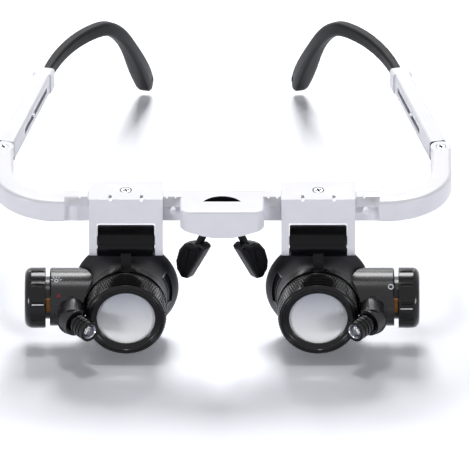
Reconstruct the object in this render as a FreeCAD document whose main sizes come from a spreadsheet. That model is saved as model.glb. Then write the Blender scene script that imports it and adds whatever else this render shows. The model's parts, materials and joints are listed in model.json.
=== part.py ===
import FreeCAD, Part
import Sketcher
import math
import os

# Binocular magnifying glasses: a white frame that carries two tilting lens units,
# each with a battery lamp, on temples that fold and telescope.
# Origin: middle of the width and of the length, on the table top. The pieces are drawn
# from the front plane of the lenses and moved forward as the last step.
# +X is to the right of someone who faces the front, -Y is the front, +Z is up.
# The right side is modelled and the left side is its mirror image.

Vector = FreeCAD.Vector

SIZES = {
    # Lens units
    "pupil_half": 32.0,
    "fit_gap": 0.05,
    "face_gap": 0.2,
    "flange_front": 8.5,
    "flange_thick": 2.5,
    "flange_step": 0.7,
    "sleeve_wall": 1.25,
    "sleeve_end": 18.0,
    "thread_wall": 0.8,
    "barrel_wall": 1.2,
    "barrel_front": 0.8,
    "barrel_chamfer": 0.6,
    "barrel_end": 17.6,
    "barrel_lens_gap": 0.1,
    "barrel_groove": 0.4,
    "bezel_seat_width": 1.2,
    "bezel_seat_depth": 1.7,
    "bezel_set_back": 0.2,
    "bezel_rim": 0.75,
    "lens_seat_width": 1.05,
    "bezel_lip": 0.5,
    "lens_edge_radius": 10.7,
    "lens_dome": 1.05,
    "lens_back_dome": 0.4,
    "front_lens_thick": 2.05,
    "rear_lens_thick": 1.95,
    "spacer_wall": 0.9,
    "spacer_length": 10.85,
    "rear_ring_length": 1.45,
    # Eye cups
    "cup_wall": 1.1,
    "cup_throat": 0.55,
    "cup_straight": 1.7,
    "cup_rear": 22.6,
    "cup_flare_radius": 13.0,
    "cup_flare_reach": 4.6,
    "cup_lip": 0.6,
    # Tilting hinge
    "tilt_back": 15.9,
    "tilt_room": 2.2,
    "roller_radius": 5.3,
    "roller_half": 9.5,
    "roller_edge": 0.4,
    "hinge_pin_radius": 1.5,
    "neck_width": 3.5,
    # Carriages
    "fork_gap": 0.2,
    "fork_thick": 2.6,
    "fork_radius": 5.0,
    "run_gap": 0.3,
    "lid_gap": 0.2,
    "lid_thick": 1.8,
    "plate_lift": 0.5,
    "rear_plate_thick": 2.0,
    "rear_plate_height": 12.6,
    "rear_screw_radius": 0.6,
    "rear_head_radius": 1.1,
    "rear_screw_length": 4.2,
    "rear_screw_drop": 2.6,
    "clamp_head_radius": 1.8,
    "clamp_head_depth": 0.9,
    "clamp_shank_radius": 0.9,
    "clamp_recess_radius": 2.0,
    "drive_slot_width": 0.5,
    "drive_slot_depth": 0.4,
    "notch_width": 1.0,
    "notch_depth": 0.7,
    "notch_spread": 5.2,
    # Frame
    "fork_drop": 8.8,
    "band_height": 7.8,
    "band_depth": 7.0,
    "band_round": 1.2,
    "rail_front": 13.9,
    "rail_end_room": 3.8,
    "rail_link": 2.3,
    "rail_chamfer": 2.4,
    "tooth_pitch": 2.9,
    "tooth_width": 0.6,
    "tooth_depth": 0.4,
    "bridge_end_room": 1.3,
    "bridge_front": 5.6,
    "bridge_corner": 3.0,
    "bridge_drop": 2.0,
    "bridge_edge": 0.8,
    "crescent_width": 12.65,
    "crescent_reach": 3.6,
    "crescent_front": 13.0,
    "crescent_depth": 4.0,
    "corner_y": 34.4,
    "corner_radius": 21.8,
    "stop_pin_radius": 1.0,
    "stop_pin_length": 2.2,
    "stop_pin_sunk": 1.4,
    "slide_right_travel": 2.2,
    # Temples
    "hinge_y": 50.0,
    "ear_thick": 2.2,
    "tongue_gap": 0.1,
    "tongue_radius": 3.3,
    "temple_shank_gap": 0.5,
    "hinge_screw_radius": 0.9,
    "hinge_head_radius": 1.7,
    "hinge_head_depth": 0.7,
    "hinge_screw_bite": 1.6,
    "temple_angle": 14.1,
    "temple_thick": 5.6,
    "temple_height": 7.6,
    "temple_length": 55.4,
    "temple_round": 1.0,
    "collar_length": 4.4,
    "collar_step": 0.5,
    "channel_start": 12.0,
    "channel_gap": 0.1,
    "window_start": 18.0,
    "window_end_room": 8.4,
    "window_height": 2.2,
    "leg_thick": 2.0,
    "leg_height": 3.4,
    "leg_start": 20.0,
    "leg_reach": 5.6,
    "guide_pin_at": 30.0,
    "guide_pin_radius": 1.0,
    # Ear sleeves
    "sleeve_start_reach": 1.0,
    "hook_reach": 51.0,
    "hook_thick": 4.0,
    "hook_height": 4.8,
    "tip_hole_radius": 1.0,
    # Battery tubes
    "battery_back": 14.4,
    "tube_radius": 10.0,
    "tube_overlap": 3.6,
    "tube_length": 15.4,
    "tube_edge": 0.5,
    "tube_step": 0.6,
    "tube_step_length": 4.5,
    "tube_step_rise": 5.1,
    "neck_radius": 7.1,
    "neck_length": 6.1,
    "cell_bore_radius": 5.9,
    "cell_bore_sunk": 1.8,
    "lens_room": 1.0,
    "cell_radius": 5.8,
    "cell_length": 3.05,
    "cell_edge": 0.3,
    "leaf_thick": 0.25,
    "lug_half_height": 3.5,
    "lug_reach": 2.6,
    "lug_thick": 2.3,
    "cap_radius": 10.1,
    "cap_gap": 1.4,
    "cap_length": 7.0,
    "cap_wall": 1.6,
    "cap_round": 2.4,
    "grip_depth": 0.45,
    "grip_width": 1.1,
    "contact_radius": 5.5,
    "contact_thick": 0.7,
    "contact_boss_radius": 2.0,
    "tab_rise": 1.0,
    "tab_width": 1.1,
    "tab_height": 4.6,
    # Lamps
    "ball_side_gap": 4.2,
    "ball_back": -0.4,
    "lamp_aim": 36.0,
    "lamp_reach": 9.9,
    "ball_radius": 3.0,
    "socket_radius": 4.6,
    "arm_step": 0.3,
    "socket_front": 2.6,
    "mouth_start": 1.2,
    "mouth_radius": 2.8,
    "mouth_flare": 0.15,
    "stem_radius": 1.9,
    "lamp_radius": 3.5,
    "lamp_back": 3.6,
    "ring_groove": 0.5,
    "ring_groove_depth": 0.35,
    "ring_pitch": 1.6,
    "lamp_cup_radius": 2.5,
    "lamp_cup_depth": 1.8,
    "led_radius": 1.5,
    "led_base_radius": 1.9,
    "led_base_thick": 0.8,
    "led_base_at": 6.5,
    "wire_bore_radius": 1.1,
    "lead_radius": 0.25,
    "lead_gap_half": 0.6,
    "lead_length": 2.6,
    "swing_room": 0.7,
    # Nose pads
    "pad_cup_room": 4.3,
    "pad_y": 13.0,
    "pad_drop": 14.2,
    "pad_length": 17.6,
    "pad_width": 10.2,
    "pad_thick": 4.0,
    "pad_corner_round": 1.0,
    "pad_round": 0.9,
    "pad_stem_radius": 1.35,
    "pad_root_x": 4.9,
    "pad_root_y": 9.0,
    "pad_root_sink": 2.5,
    # From the middle of the part's length to the front plane of the lenses
    "origin_back": 86.92,
    # Cutting tools run past the faces that they cut by this much
    "overrun": 1.0,
}

# Shares of the sizes named in the function that uses them
NECK_BACK_SHARE = 0.7
NECK_TOP_SHARE = 0.2
NECK_TOP_BACK_SHARE = 0.3
NECK_FRONT_SHARE = 0.8
NECK_FRONT_RISE_SHARE = 0.35
NECK_FOOT_SHARE = 0.85
SCREW_DOME_SHARE = 0.8
STEM_STOP_SHARE = 0.2
TOOTH_START_SHARE = 0.5
BRIDGE_SHOULDER_SHARE = 0.5
BRIDGE_TIP_SHARE = 0.24
BRIDGE_SIDE_SHARE = 0.55
BRIDGE_SHOULDER_DROP_SHARE = 0.55

doc = FreeCAD.newDocument("BinocularGlasses")
sheet = doc.addObject("Spreadsheet::Sheet", "Sizes")


class Size:
    """A length or an angle: its number, and the sheet expression that gives it."""

    def __init__(self, value, text):
        self.value = value
        self.text = text

    def __add__(self, other):
        return combined(self, "+", other, self.value + number(other))

    def __radd__(self, other):
        return combined(other, "+", self, number(other) + self.value)

    def __sub__(self, other):
        return combined(self, "-", other, self.value - number(other))

    def __rsub__(self, other):
        return combined(other, "-", self, number(other) - self.value)

    def __mul__(self, other):
        return combined(self, "*", other, self.value * number(other))

    def __rmul__(self, other):
        return combined(other, "*", self, number(other) * self.value)

    def __truediv__(self, other):
        return combined(self, "/", other, self.value / number(other))

    def __neg__(self):
        return Size(-self.value, "(0 - %s)" % self.text)


def number(value):
    """The plain number of a size or of a plain number."""
    return value.value if isinstance(value, Size) else float(value)


def text(value):
    """The expression of a size or of a plain number."""
    return value.text if isinstance(value, Size) else repr(float(value))


def combined(first, sign, second, value):
    """The size that two others give."""
    return Size(value, "(%s %s %s)" % (text(first), sign, text(second)))


def root(value):
    """The square root of a product of sizes."""
    return Size(math.sqrt(value.value), "sqrt(%s)" % value.text)


def cosine(angle):
    """The cosine of an angle of the sheet."""
    return Size(math.cos(math.radians(angle.value)), "cos(%s)" % angle.text)


def sine(angle):
    """The sine of an angle of the sheet."""
    return Size(math.sin(math.radians(angle.value)), "sin(%s)" % angle.text)


class SizeBook:
    """The sizes of the sheet, each one under its own name."""


def fill_sheet():
    """Write every size into the sheet and give its cell the size's name."""
    book = SizeBook()
    for row, (name, value) in enumerate(SIZES.items(), start=1):
        cell = "B%d" % row
        sheet.set("A%d" % row, name)
        sheet.set(cell, repr(value))
        sheet.setAlias(cell, name)
        setattr(book, name, Size(value, "Sizes." + name))
    doc.recompute()
    return book


s = fill_sheet()

PIECES = []
STANDS = {}

ALONG_X = FreeCAD.Rotation(Vector(0, 1, 0), 90)
ALONG_Y = FreeCAD.Rotation(Vector(1, 0, 0), -90)
ALONG_Z = FreeCAD.Rotation()


def bind(thing, path, size):
    """Tie a property to the sheet, or set it where the size is a plain number."""
    if isinstance(size, Size):
        thing.setExpression(path, size.text)
    else:
        setattr(thing, path, size)


def place(thing, at=(0, 0, 0), rotation=ALONG_Z):
    """Stand an object at a point given in sizes."""
    STANDS[thing.Name] = at
    base = Vector(*[number(step) for step in at])
    thing.Placement = FreeCAD.Placement(base, rotation)
    for letter, step in zip("xyz", at):
        if isinstance(step, Size):
            thing.setExpression("Placement.Base." + letter, step.text)
    return thing


def turn(thing, axis, angle):
    """Turn a placed object by an angle of the sheet."""
    thing.Placement = FreeCAD.Placement(
        thing.Placement.Base, FreeCAD.Rotation(axis, number(angle)))
    thing.setExpression("Placement.Rotation.Angle", angle.text)
    return thing


def cylinder(name, radius, length, at=(0, 0, 0), rotation=ALONG_Z):
    """A round bar from a point along X, Y or Z."""
    thing = doc.addObject("Part::Cylinder", name)
    bind(thing, "Radius", radius)
    bind(thing, "Height", length)
    return place(thing, at, rotation)


def cone(name, start_radius, end_radius, length, at=(0, 0, 0), rotation=ALONG_Z):
    """A cone from a point along X, Y or Z."""
    thing = doc.addObject("Part::Cone", name)
    bind(thing, "Radius1", start_radius)
    bind(thing, "Radius2", end_radius)
    bind(thing, "Height", length)
    return place(thing, at, rotation)


def ball(name, radius, at=(0, 0, 0)):
    """A full sphere."""
    thing = doc.addObject("Part::Sphere", name)
    bind(thing, "Radius", radius)
    return place(thing, at)


def block(name, low, high):
    """A box between two corners given in sizes."""
    thing = doc.addObject("Part::Box", name)
    for path, start, end in zip(("Length", "Width", "Height"), low, high):
        bind(thing, path, end - start)
    return place(thing, low)


def fused(name, *parts):
    """Solids joined into one."""
    thing = doc.addObject("Part::MultiFuse", name)
    thing.Shapes = list(parts)
    thing.Refine = True
    return thing


def cut(name, base, *tools):
    """A solid with the tools taken away."""
    thing = doc.addObject("Part::Cut", name)
    thing.Base = base
    thing.Tool = tools[0] if len(tools) == 1 else fused(name + "Tools", *tools)
    thing.Refine = True
    return thing


def common(name, first, second):
    """What two solids share."""
    thing = doc.addObject("Part::Common", name)
    thing.Base = first
    thing.Tool = second
    return thing


def mirrored(name, source):
    """The same solid on the other side of the middle plane."""
    thing = doc.addObject("Part::Mirroring", name)
    thing.Source = source
    thing.Normal = Vector(1, 0, 0)
    return thing


def arc_middle(start, end, radius, side):
    """A point on the short arc between two points, bulging left or right of the way."""
    way = end - start
    half = way.Length / 2
    rise = radius - math.sqrt(max(radius * radius - half * half, 0.0))
    left = Vector(-way.y, way.x, 0).normalize()
    return start + way / 2 + left * rise * side


def draw(body, plane, corners):
    """A closed sketch on an origin plane of a body.

    Each corner is (x, y), reached by a line, or (x, y, radius, side), reached by an arc
    that bulges to the left (side 1) or to the right (side -1) of the way.
    """
    sketch = body.newObject("Sketcher::SketchObject", body.Name + "Sketch")
    origin = [each for each in body.Origin.OriginFeatures if each.Role == plane][0]
    sketch.AttachmentSupport = (origin, [""])
    sketch.MapMode = "FlatFace"
    points = [Vector(number(corner[0]), number(corner[1]), 0) for corner in corners]
    count = len(corners)
    starts = []
    ends = []
    for index, corner in enumerate(corners):
        before = points[index - 1]
        here = points[index]
        if len(corner) == 2:
            sketch.addGeometry(Part.LineSegment(before, here), False)
            starts.append(1)
            ends.append(2)
        else:
            radius, side = corner[2], corner[3]
            middle = arc_middle(before, here, number(radius), side)
            arc = Part.Arc(before, middle, here) if side < 0 else Part.Arc(here, middle, before)
            sketch.addGeometry(arc, False)
            starts.append(1 if side < 0 else 2)
            ends.append(2 if side < 0 else 1)
    for index in range(count):
        after = (index + 1) % count
        sketch.addConstraint(
            Sketcher.Constraint("Coincident", index, ends[index], after, starts[after]))
    for index, corner in enumerate(corners):
        pin_down(sketch, "DistanceX", index, ends[index], corner[0])
        pin_down(sketch, "DistanceY", index, ends[index], corner[1])
        if len(corner) == 4:
            rule = sketch.addConstraint(
                Sketcher.Constraint("Radius", index, number(corner[2])))
            sketch.setExpression("Constraints[%d]" % rule, corner[2].text)
    return sketch


def pin_down(sketch, kind, index, end, size):
    """Hold one coordinate of a corner at its size from the sketch's origin."""
    if number(size) == 0 and not isinstance(size, Size):
        axis = -2 if kind == "DistanceX" else -1
        sketch.addConstraint(Sketcher.Constraint("PointOnObject", index, end, axis))
        return
    rule = sketch.addConstraint(
        Sketcher.Constraint(kind, -1, 1, index, end, number(size)))
    sketch.setExpression("Constraints[%d]" % rule, size.text)


def turned(name, plane, axis, corners):
    """A body turned from its half section; axis is H_Axis or V_Axis of the sketch."""
    body = doc.addObject("PartDesign::Body", name)
    sketch = draw(body, plane, corners)
    feature = body.newObject("PartDesign::Revolution", name + "Turned")
    feature.Profile = sketch
    feature.ReferenceAxis = (sketch, [axis])
    feature.Angle = 360
    return body


def plate(name, plane, corners, length, both_ways=False, backwards=False):
    """A body padded from its outline."""
    body = doc.addObject("PartDesign::Body", name)
    sketch = draw(body, plane, corners)
    feature = body.newObject("PartDesign::Pad", name + "Pad")
    feature.Profile = sketch
    bind(feature, "Length", length)
    feature.Midplane = both_ways
    feature.Reversed = backwards
    return body


def round_box(x0, y0, x1, y1, radius):
    """The corners of a rectangle with rounded corners, counterclockwise."""
    return [
        (x0 + radius, y0, radius, -1),
        (x1 - radius, y0),
        (x1, y0 + radius, radius, -1),
        (x1, y1 - radius),
        (x1 - radius, y1, radius, -1),
        (x0 + radius, y1),
        (x0, y1 - radius, radius, -1),
        (x0, y0 + radius),
    ]


def named(label, thing):
    """Give a finished solid its name."""
    thing.Label = label
    PIECES.append(thing)


def piece(label, thing):
    """Name a finished solid and move it forward to the part's own origin."""
    y = STANDS.get(thing.Name, (0, 0, 0))[1] - s.origin_back
    stand = thing.Placement
    thing.Placement = FreeCAD.Placement(Vector(stand.Base.x, y.value, stand.Base.z),
                                        stand.Rotation)
    thing.setExpression("Placement.Base.y", y.text)
    named(label, thing)


def pair(label, thing):
    """A right-hand piece and its mirror image on the left."""
    piece(label + "_right", thing)
    named(label + "_left", mirrored(thing.Name + "Mirror", thing))


# Places that several pieces share

barrel_bore = s.lens_edge_radius + s.barrel_lens_gap
clear_radius = s.lens_edge_radius - s.lens_seat_width
thread_radius = barrel_bore + s.thread_wall
bezel_seat_radius = barrel_bore + s.bezel_seat_width
barrel_radius = bezel_seat_radius + s.barrel_wall
sleeve_radius = thread_radius + s.fit_gap + s.sleeve_wall
flange_radius = sleeve_radius + s.flange_step
cup_radius = sleeve_radius + s.cup_flare_reach
tilt_rise = flange_radius + s.roller_radius + s.tilt_room
axis_z = cup_radius
tilt_z = axis_z + tilt_rise
band_bottom = tilt_z + s.fork_drop
band_top = band_bottom + s.band_height
fork_front = s.tilt_back - s.fork_radius
fork_back = s.tilt_back + s.fork_radius
rail_back = fork_back - s.run_gap
carriage_half = s.roller_half + s.fork_gap + s.fork_thick
stop_reach = carriage_half + s.slide_right_travel + s.face_gap + s.stop_pin_radius
bridge_half = s.pupil_half - stop_reach - s.stop_pin_radius - s.bridge_end_room
rail_half = s.pupil_half + stop_reach + s.stop_pin_radius + s.rail_end_room
corner_x = rail_half + s.rail_link
hinge_x = corner_x + s.corner_radius - s.band_depth / 2
pad_x = s.pupil_half - cup_radius - s.pad_cup_room
pad_z = band_bottom - s.pad_drop
window_end = s.temple_length - s.window_end_room
leg_end = s.temple_length + s.leg_reach
sleeve_start = s.temple_length + s.sleeve_start_reach
lid_top = band_top + s.lid_gap + s.lid_thick
clamp_y = (s.rail_front + rail_back) / 2
lens_start = s.bezel_seat_depth - s.barrel_front + s.fit_gap
spacer_start = lens_start + s.front_lens_thick + s.fit_gap
rear_lens_start = spacer_start + s.spacer_length + s.fit_gap
ring_start = rear_lens_start + s.rear_lens_thick + s.fit_gap
lamp_ball_x = s.pupil_half + flange_radius + s.ball_side_gap
lamp_ball_y = s.ball_back
tube_start = s.pupil_half + flange_radius - s.tube_overlap
tube_end = tube_start + s.tube_length
neck_end = tube_end + s.neck_length
cell_bore_start = tube_end - s.cell_bore_sunk
cap_start = tube_end + s.cap_gap
cap_end = cap_start + s.cap_length
temple_z = band_bottom + s.band_height / 2


def on_axis(thing):
    """Stand a piece that was turned at the origin on the right-hand lens axis."""
    return place(thing, (s.pupil_half, 0, axis_z))


# Lens barrels

def lens_barrel():
    """Knurled barrel: a wide front part and a threaded shank."""
    groove_at = s.flange_front - s.face_gap - s.barrel_groove * 2
    corners = [
        (barrel_radius - s.barrel_chamfer, -s.barrel_front),
        (barrel_radius, s.barrel_chamfer - s.barrel_front),
        (barrel_radius, groove_at - s.barrel_groove),
        (barrel_radius - s.barrel_groove, groove_at),
        (barrel_radius, groove_at + s.barrel_groove),
        (barrel_radius, s.flange_front - s.face_gap),
        (thread_radius, s.flange_front - s.face_gap),
        (thread_radius, s.barrel_end),
        (barrel_bore, s.barrel_end),
        (barrel_bore, s.bezel_seat_depth - s.barrel_front),
        (bezel_seat_radius, s.bezel_seat_depth - s.barrel_front),
        (bezel_seat_radius, -s.barrel_front),
    ]
    pair("lens_barrel", on_axis(turned("Barrel", "XY_Plane", "V_Axis", corners)))


def front_bezel():
    """Ring with a bevelled opening that holds the front lens."""
    outer = bezel_seat_radius - s.fit_gap
    back = s.bezel_seat_depth - s.barrel_front
    front = s.bezel_set_back - s.barrel_front
    corners = [
        (outer, front),
        (outer, back),
        (clear_radius, back),
        (clear_radius, back - s.bezel_lip),
        (outer - s.bezel_rim, front),
    ]
    pair("front_bezel", on_axis(turned("Bezel", "XY_Plane", "V_Axis", corners)))


def dome_radius(rise):
    """Radius of the sphere that rises by this much over the clear opening."""
    return (clear_radius * clear_radius + rise * rise) / (rise * 2)


def front_lens():
    """Magnifying lens: strong dome in front, weak one behind, flat rim."""
    back = lens_start + s.front_lens_thick
    corners = [
        (clear_radius, lens_start, dome_radius(s.lens_dome), -1),
        (s.lens_edge_radius, lens_start),
        (s.lens_edge_radius, back),
        (clear_radius, back),
        (0, back + s.lens_back_dome, dome_radius(s.lens_back_dome), -1),
        (0, lens_start - s.lens_dome),
    ]
    pair("front_lens", on_axis(turned("FrontLens", "XY_Plane", "V_Axis", corners)))


def lens_spacer():
    """Tube that keeps the two lenses apart."""
    corners = [
        (s.lens_edge_radius - s.spacer_wall, spacer_start),
        (s.lens_edge_radius, spacer_start),
        (s.lens_edge_radius, spacer_start + s.spacer_length),
        (s.lens_edge_radius - s.spacer_wall, spacer_start + s.spacer_length),
    ]
    pair("lens_spacer", on_axis(turned("Spacer", "XY_Plane", "V_Axis", corners)))


def rear_lens():
    """Eye lens, domed alike on both faces."""
    back = rear_lens_start + s.rear_lens_thick
    corners = [
        (clear_radius, rear_lens_start, dome_radius(s.lens_back_dome), -1),
        (s.lens_edge_radius, rear_lens_start),
        (s.lens_edge_radius, back),
        (clear_radius, back),
        (0, back + s.lens_back_dome, dome_radius(s.lens_back_dome), -1),
        (0, rear_lens_start - s.lens_back_dome),
    ]
    pair("rear_lens", on_axis(turned("RearLens", "XY_Plane", "V_Axis", corners)))


def rear_ring():
    """Threaded ring that holds the eye lens."""
    corners = [
        (clear_radius, ring_start),
        (barrel_bore - s.fit_gap, ring_start),
        (barrel_bore - s.fit_gap, ring_start + s.rear_ring_length),
        (clear_radius, ring_start + s.rear_ring_length),
    ]
    pair("rear_ring", on_axis(turned("RearRing", "XY_Plane", "V_Axis", corners)))


# Lens holders and eye cups

def lens_holder():
    """Flange ring, sleeve, neck and hinge roller moulded in one, with a side lug."""
    flange_back = s.flange_front + s.flange_thick
    bore = thread_radius + s.fit_gap
    ring = turned("HolderRing", "XY_Plane", "V_Axis", [
        (bore, s.flange_front),
        (flange_radius, s.flange_front),
        (flange_radius, flange_back),
        (sleeve_radius, flange_back),
        (sleeve_radius, s.sleeve_end),
        (bore, s.sleeve_end),
    ])
    roller = turned("HolderRoller", "XY_Plane", "H_Axis", [
        (-s.roller_half, 0),
        (s.roller_half, 0),
        (s.roller_half, s.roller_radius - s.roller_edge),
        (s.roller_half - s.roller_edge, s.roller_radius),
        (s.roller_edge - s.roller_half, s.roller_radius),
        (-s.roller_half, s.roller_radius - s.roller_edge),
    ])
    place(roller, (0, s.tilt_back, tilt_rise))
    foot = flange_radius - s.flange_thick / 2
    neck = plate("HolderNeck", "YZ_Plane", [
        (s.flange_front, foot),
        (flange_back, foot),
        (flange_back, flange_radius + s.run_gap * 4),
        (s.tilt_back, tilt_rise - s.roller_radius * NECK_BACK_SHARE),
        (s.tilt_back - s.roller_radius * NECK_TOP_BACK_SHARE,
         tilt_rise - s.roller_radius * NECK_TOP_SHARE),
        (s.tilt_back - s.roller_radius * NECK_FRONT_SHARE,
         tilt_rise - s.roller_radius * NECK_FRONT_RISE_SHARE),
        (s.flange_front + s.run_gap * 2,
         tilt_rise - s.roller_radius * NECK_FOOT_SHARE),
    ], s.neck_width, both_ways=True)
    lug_z = s.lug_half_height
    lug_y = flange_back - s.lug_thick
    lug = block("HolderLug", (sleeve_radius, lug_y, -lug_z),
                (flange_radius + s.lens_room + s.lug_reach, flange_back, lug_z))
    bore_hole = cylinder("HolderPinBore", s.hinge_pin_radius + s.fit_gap,
                         (s.roller_half + s.overrun) * 2,
                         (-s.roller_half - s.overrun, s.tilt_back, tilt_rise), ALONG_X)
    body = cut("Holder", fused("HolderSolid", ring, roller, neck, lug), bore_hole)
    pair("lens_holder", on_axis(body))


def eye_cup():
    """Bell that keeps side light off the eye, flared from the holder to its rim."""
    front = s.flange_front + s.flange_thick + s.run_gap
    throat = sleeve_radius + s.fit_gap
    corners = [
        (throat, front),
        (throat + s.cup_throat, front),
        (throat + s.cup_throat, front + s.cup_straight),
        (cup_radius - s.cup_lip / 2, s.cup_rear - s.cup_lip * 3, s.cup_flare_radius, 1),
        (cup_radius, s.cup_rear - s.cup_lip * 2),
        (cup_radius, s.cup_rear - s.cup_lip),
        (cup_radius - s.cup_lip, s.cup_rear, s.cup_lip, -1),
        (cup_radius - s.cup_wall, s.cup_rear),
        (throat, s.sleeve_end + s.face_gap, s.cup_flare_radius, -1),
    ]
    bell = turned("CupBell", "XY_Plane", "V_Axis", corners)
    pair("eye_cup", on_axis(bell))


# Battery tubes, caps and lamps

def along_lamp(name, kind, *sizes, start=0):
    """A cylinder or cone on the lamp's line, from a distance ahead of its ball."""
    aim = FreeCAD.Rotation(Vector(0, 0, 1), -s.lamp_aim.value)
    forwards = aim.multiply(FreeCAD.Rotation(Vector(1, 0, 0), 90))
    at = (lamp_ball_x - sine(s.lamp_aim) * start,
          lamp_ball_y - cosine(s.lamp_aim) * start,
          axis_z)
    return kind(name, *sizes, at, forwards)


def battery_housing():
    """Tube with a threaded neck for the cap and a ball socket for the lamp."""
    centre = (0, s.battery_back, axis_z)
    tube = turned("HousingTube", "XY_Plane", "H_Axis", [
        (tube_start, 0),
        (neck_end, 0),
        (neck_end, s.neck_radius),
        (tube_end, s.neck_radius),
        (tube_end, s.tube_radius - s.tube_edge),
        (tube_end - s.tube_edge, s.tube_radius),
        (tube_start, s.tube_radius),
    ])
    place(tube, centre)
    mitre = s.socket_radius * (1 - cosine(s.lamp_aim)) / sine(s.lamp_aim)
    arm = cylinder("HousingArm", s.socket_radius + s.arm_step,
                   s.battery_back - lamp_ball_y + mitre,
                   (lamp_ball_x, lamp_ball_y - mitre, axis_z), ALONG_Y)
    boss = along_lamp("HousingBoss", cylinder, s.socket_radius, s.socket_front + mitre,
                      start=0 - mitre)
    step_at = axis_z + s.tube_step_rise
    step_ring = turned("HousingStepRing", "XY_Plane", "H_Axis", [
        (tube_end - s.tube_step_length, s.tube_radius - s.tube_step),
        (tube_end + s.overrun, s.tube_radius - s.tube_step),
        (tube_end + s.overrun, s.tube_radius + s.overrun),
        (tube_end - s.tube_step_length, s.tube_radius + s.overrun),
    ])
    place(step_ring, centre)
    step_side = block("HousingStepSide",
                      (tube_start, s.battery_back - s.tube_radius - s.overrun * 2,
                       axis_z - s.tube_radius - s.overrun * 2),
                      (tube_end + s.overrun * 2, s.battery_back, step_at))
    tube = cut("HousingStepped", tube, common("HousingStep", step_ring, step_side))
    bore = cylinder("HousingBore", s.cell_bore_radius, neck_end, (
        cell_bore_start, s.battery_back, axis_z), ALONG_X)
    room = flange_radius + s.lens_room
    far = cup_radius + s.lens_room
    front = s.lamp_reach
    bell = turned("HousingLensRoom", "XY_Plane", "V_Axis", [
        (0, -front),
        (room, -front),
        (room, s.flange_front + s.flange_thick),
        (far, s.cup_rear - s.cup_lip * 3),
        (far, s.cup_rear + s.overrun * 2),
        (0, s.cup_rear + s.overrun * 2),
    ])
    on_axis(bell)
    socket = ball("HousingSocket", s.ball_radius + s.fit_gap, (lamp_ball_x, lamp_ball_y, axis_z))
    mouth = along_lamp("HousingMouth", cone, s.mouth_radius, s.mouth_radius + s.mouth_flare,
                       s.socket_front + s.overrun - s.mouth_start, start=s.mouth_start)
    swing = along_lamp("HousingSwing", cone, s.lamp_radius + s.swing_room,
                       s.lamp_radius + s.swing_room * 3, s.lamp_reach, start=s.socket_front)
    flange_back = s.flange_front + s.flange_thick
    pocket = block(
        "HousingPocket",
        (s.pupil_half + sleeve_radius, flange_back - s.lug_thick - s.fit_gap,
         axis_z - s.lug_half_height - s.fit_gap),
        (s.pupil_half + room + s.lug_reach + s.fit_gap, flange_back + s.fit_gap,
         axis_z + s.lug_half_height + s.fit_gap))
    body = cut("Housing", fused("HousingSolid", tube, arm, boss),
               bore, bell, socket, mouth, swing, pocket)
    pair("battery_housing", body)


def contact_leaf():
    """Sprung strip in the bottom of the battery tube, bowed towards the cells."""
    start = cell_bore_start
    cells_at = neck_end - s.contact_thick - s.cell_length * 2
    body = turned("Leaf", "XY_Plane", "H_Axis", [
        (start, s.contact_boss_radius),
        (start, s.contact_radius),
        (start + s.leaf_thick, s.contact_radius),
        (cells_at - s.fit_gap, s.contact_boss_radius),
        (cells_at - s.fit_gap, 0),
        (cells_at - s.fit_gap - s.leaf_thick, 0),
        (cells_at - s.fit_gap - s.leaf_thick, s.contact_boss_radius - s.leaf_thick),
    ])
    pair("contact_leaf", place(body, (0, s.battery_back, axis_z)))


def battery_cells():
    """Two button cells, one behind the other."""
    cells = []
    for index in range(2):
        start = neck_end - s.contact_thick - s.cell_length * (2 - index)
        end = start + s.cell_length - s.fit_gap
        cell = turned("Cell%d" % index, "XY_Plane", "H_Axis", [
            (start, 0),
            (end, 0),
            (end, s.cell_radius - s.cell_edge),
            (end - s.cell_edge, s.cell_radius),
            (start, s.cell_radius),
        ])
        cells.append(place(cell, (0, s.battery_back, axis_z)))
    pair("battery_cells", fused("Cells", *cells))


def contact_tab():
    """Brass tab on the neck that the cap's thread touches."""
    outer = s.neck_radius + s.tab_rise
    ring = turned("TabRing", "XY_Plane", "H_Axis", [
        (tube_end, s.neck_radius),
        (tube_end + s.tab_width, s.neck_radius),
        (tube_end + s.tab_width, outer),
        (tube_end, outer),
    ])
    place(ring, (0, s.battery_back, axis_z))
    window = block(
        "TabWindow",
        (tube_end - s.overrun, s.battery_back - outer - s.overrun,
         axis_z - s.tab_height / 4),
        (tube_end + s.tab_width + s.overrun, s.battery_back,
         axis_z + s.tab_height * 3 / 4))
    pair("contact_tab", common("Tab", ring, window))


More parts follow.
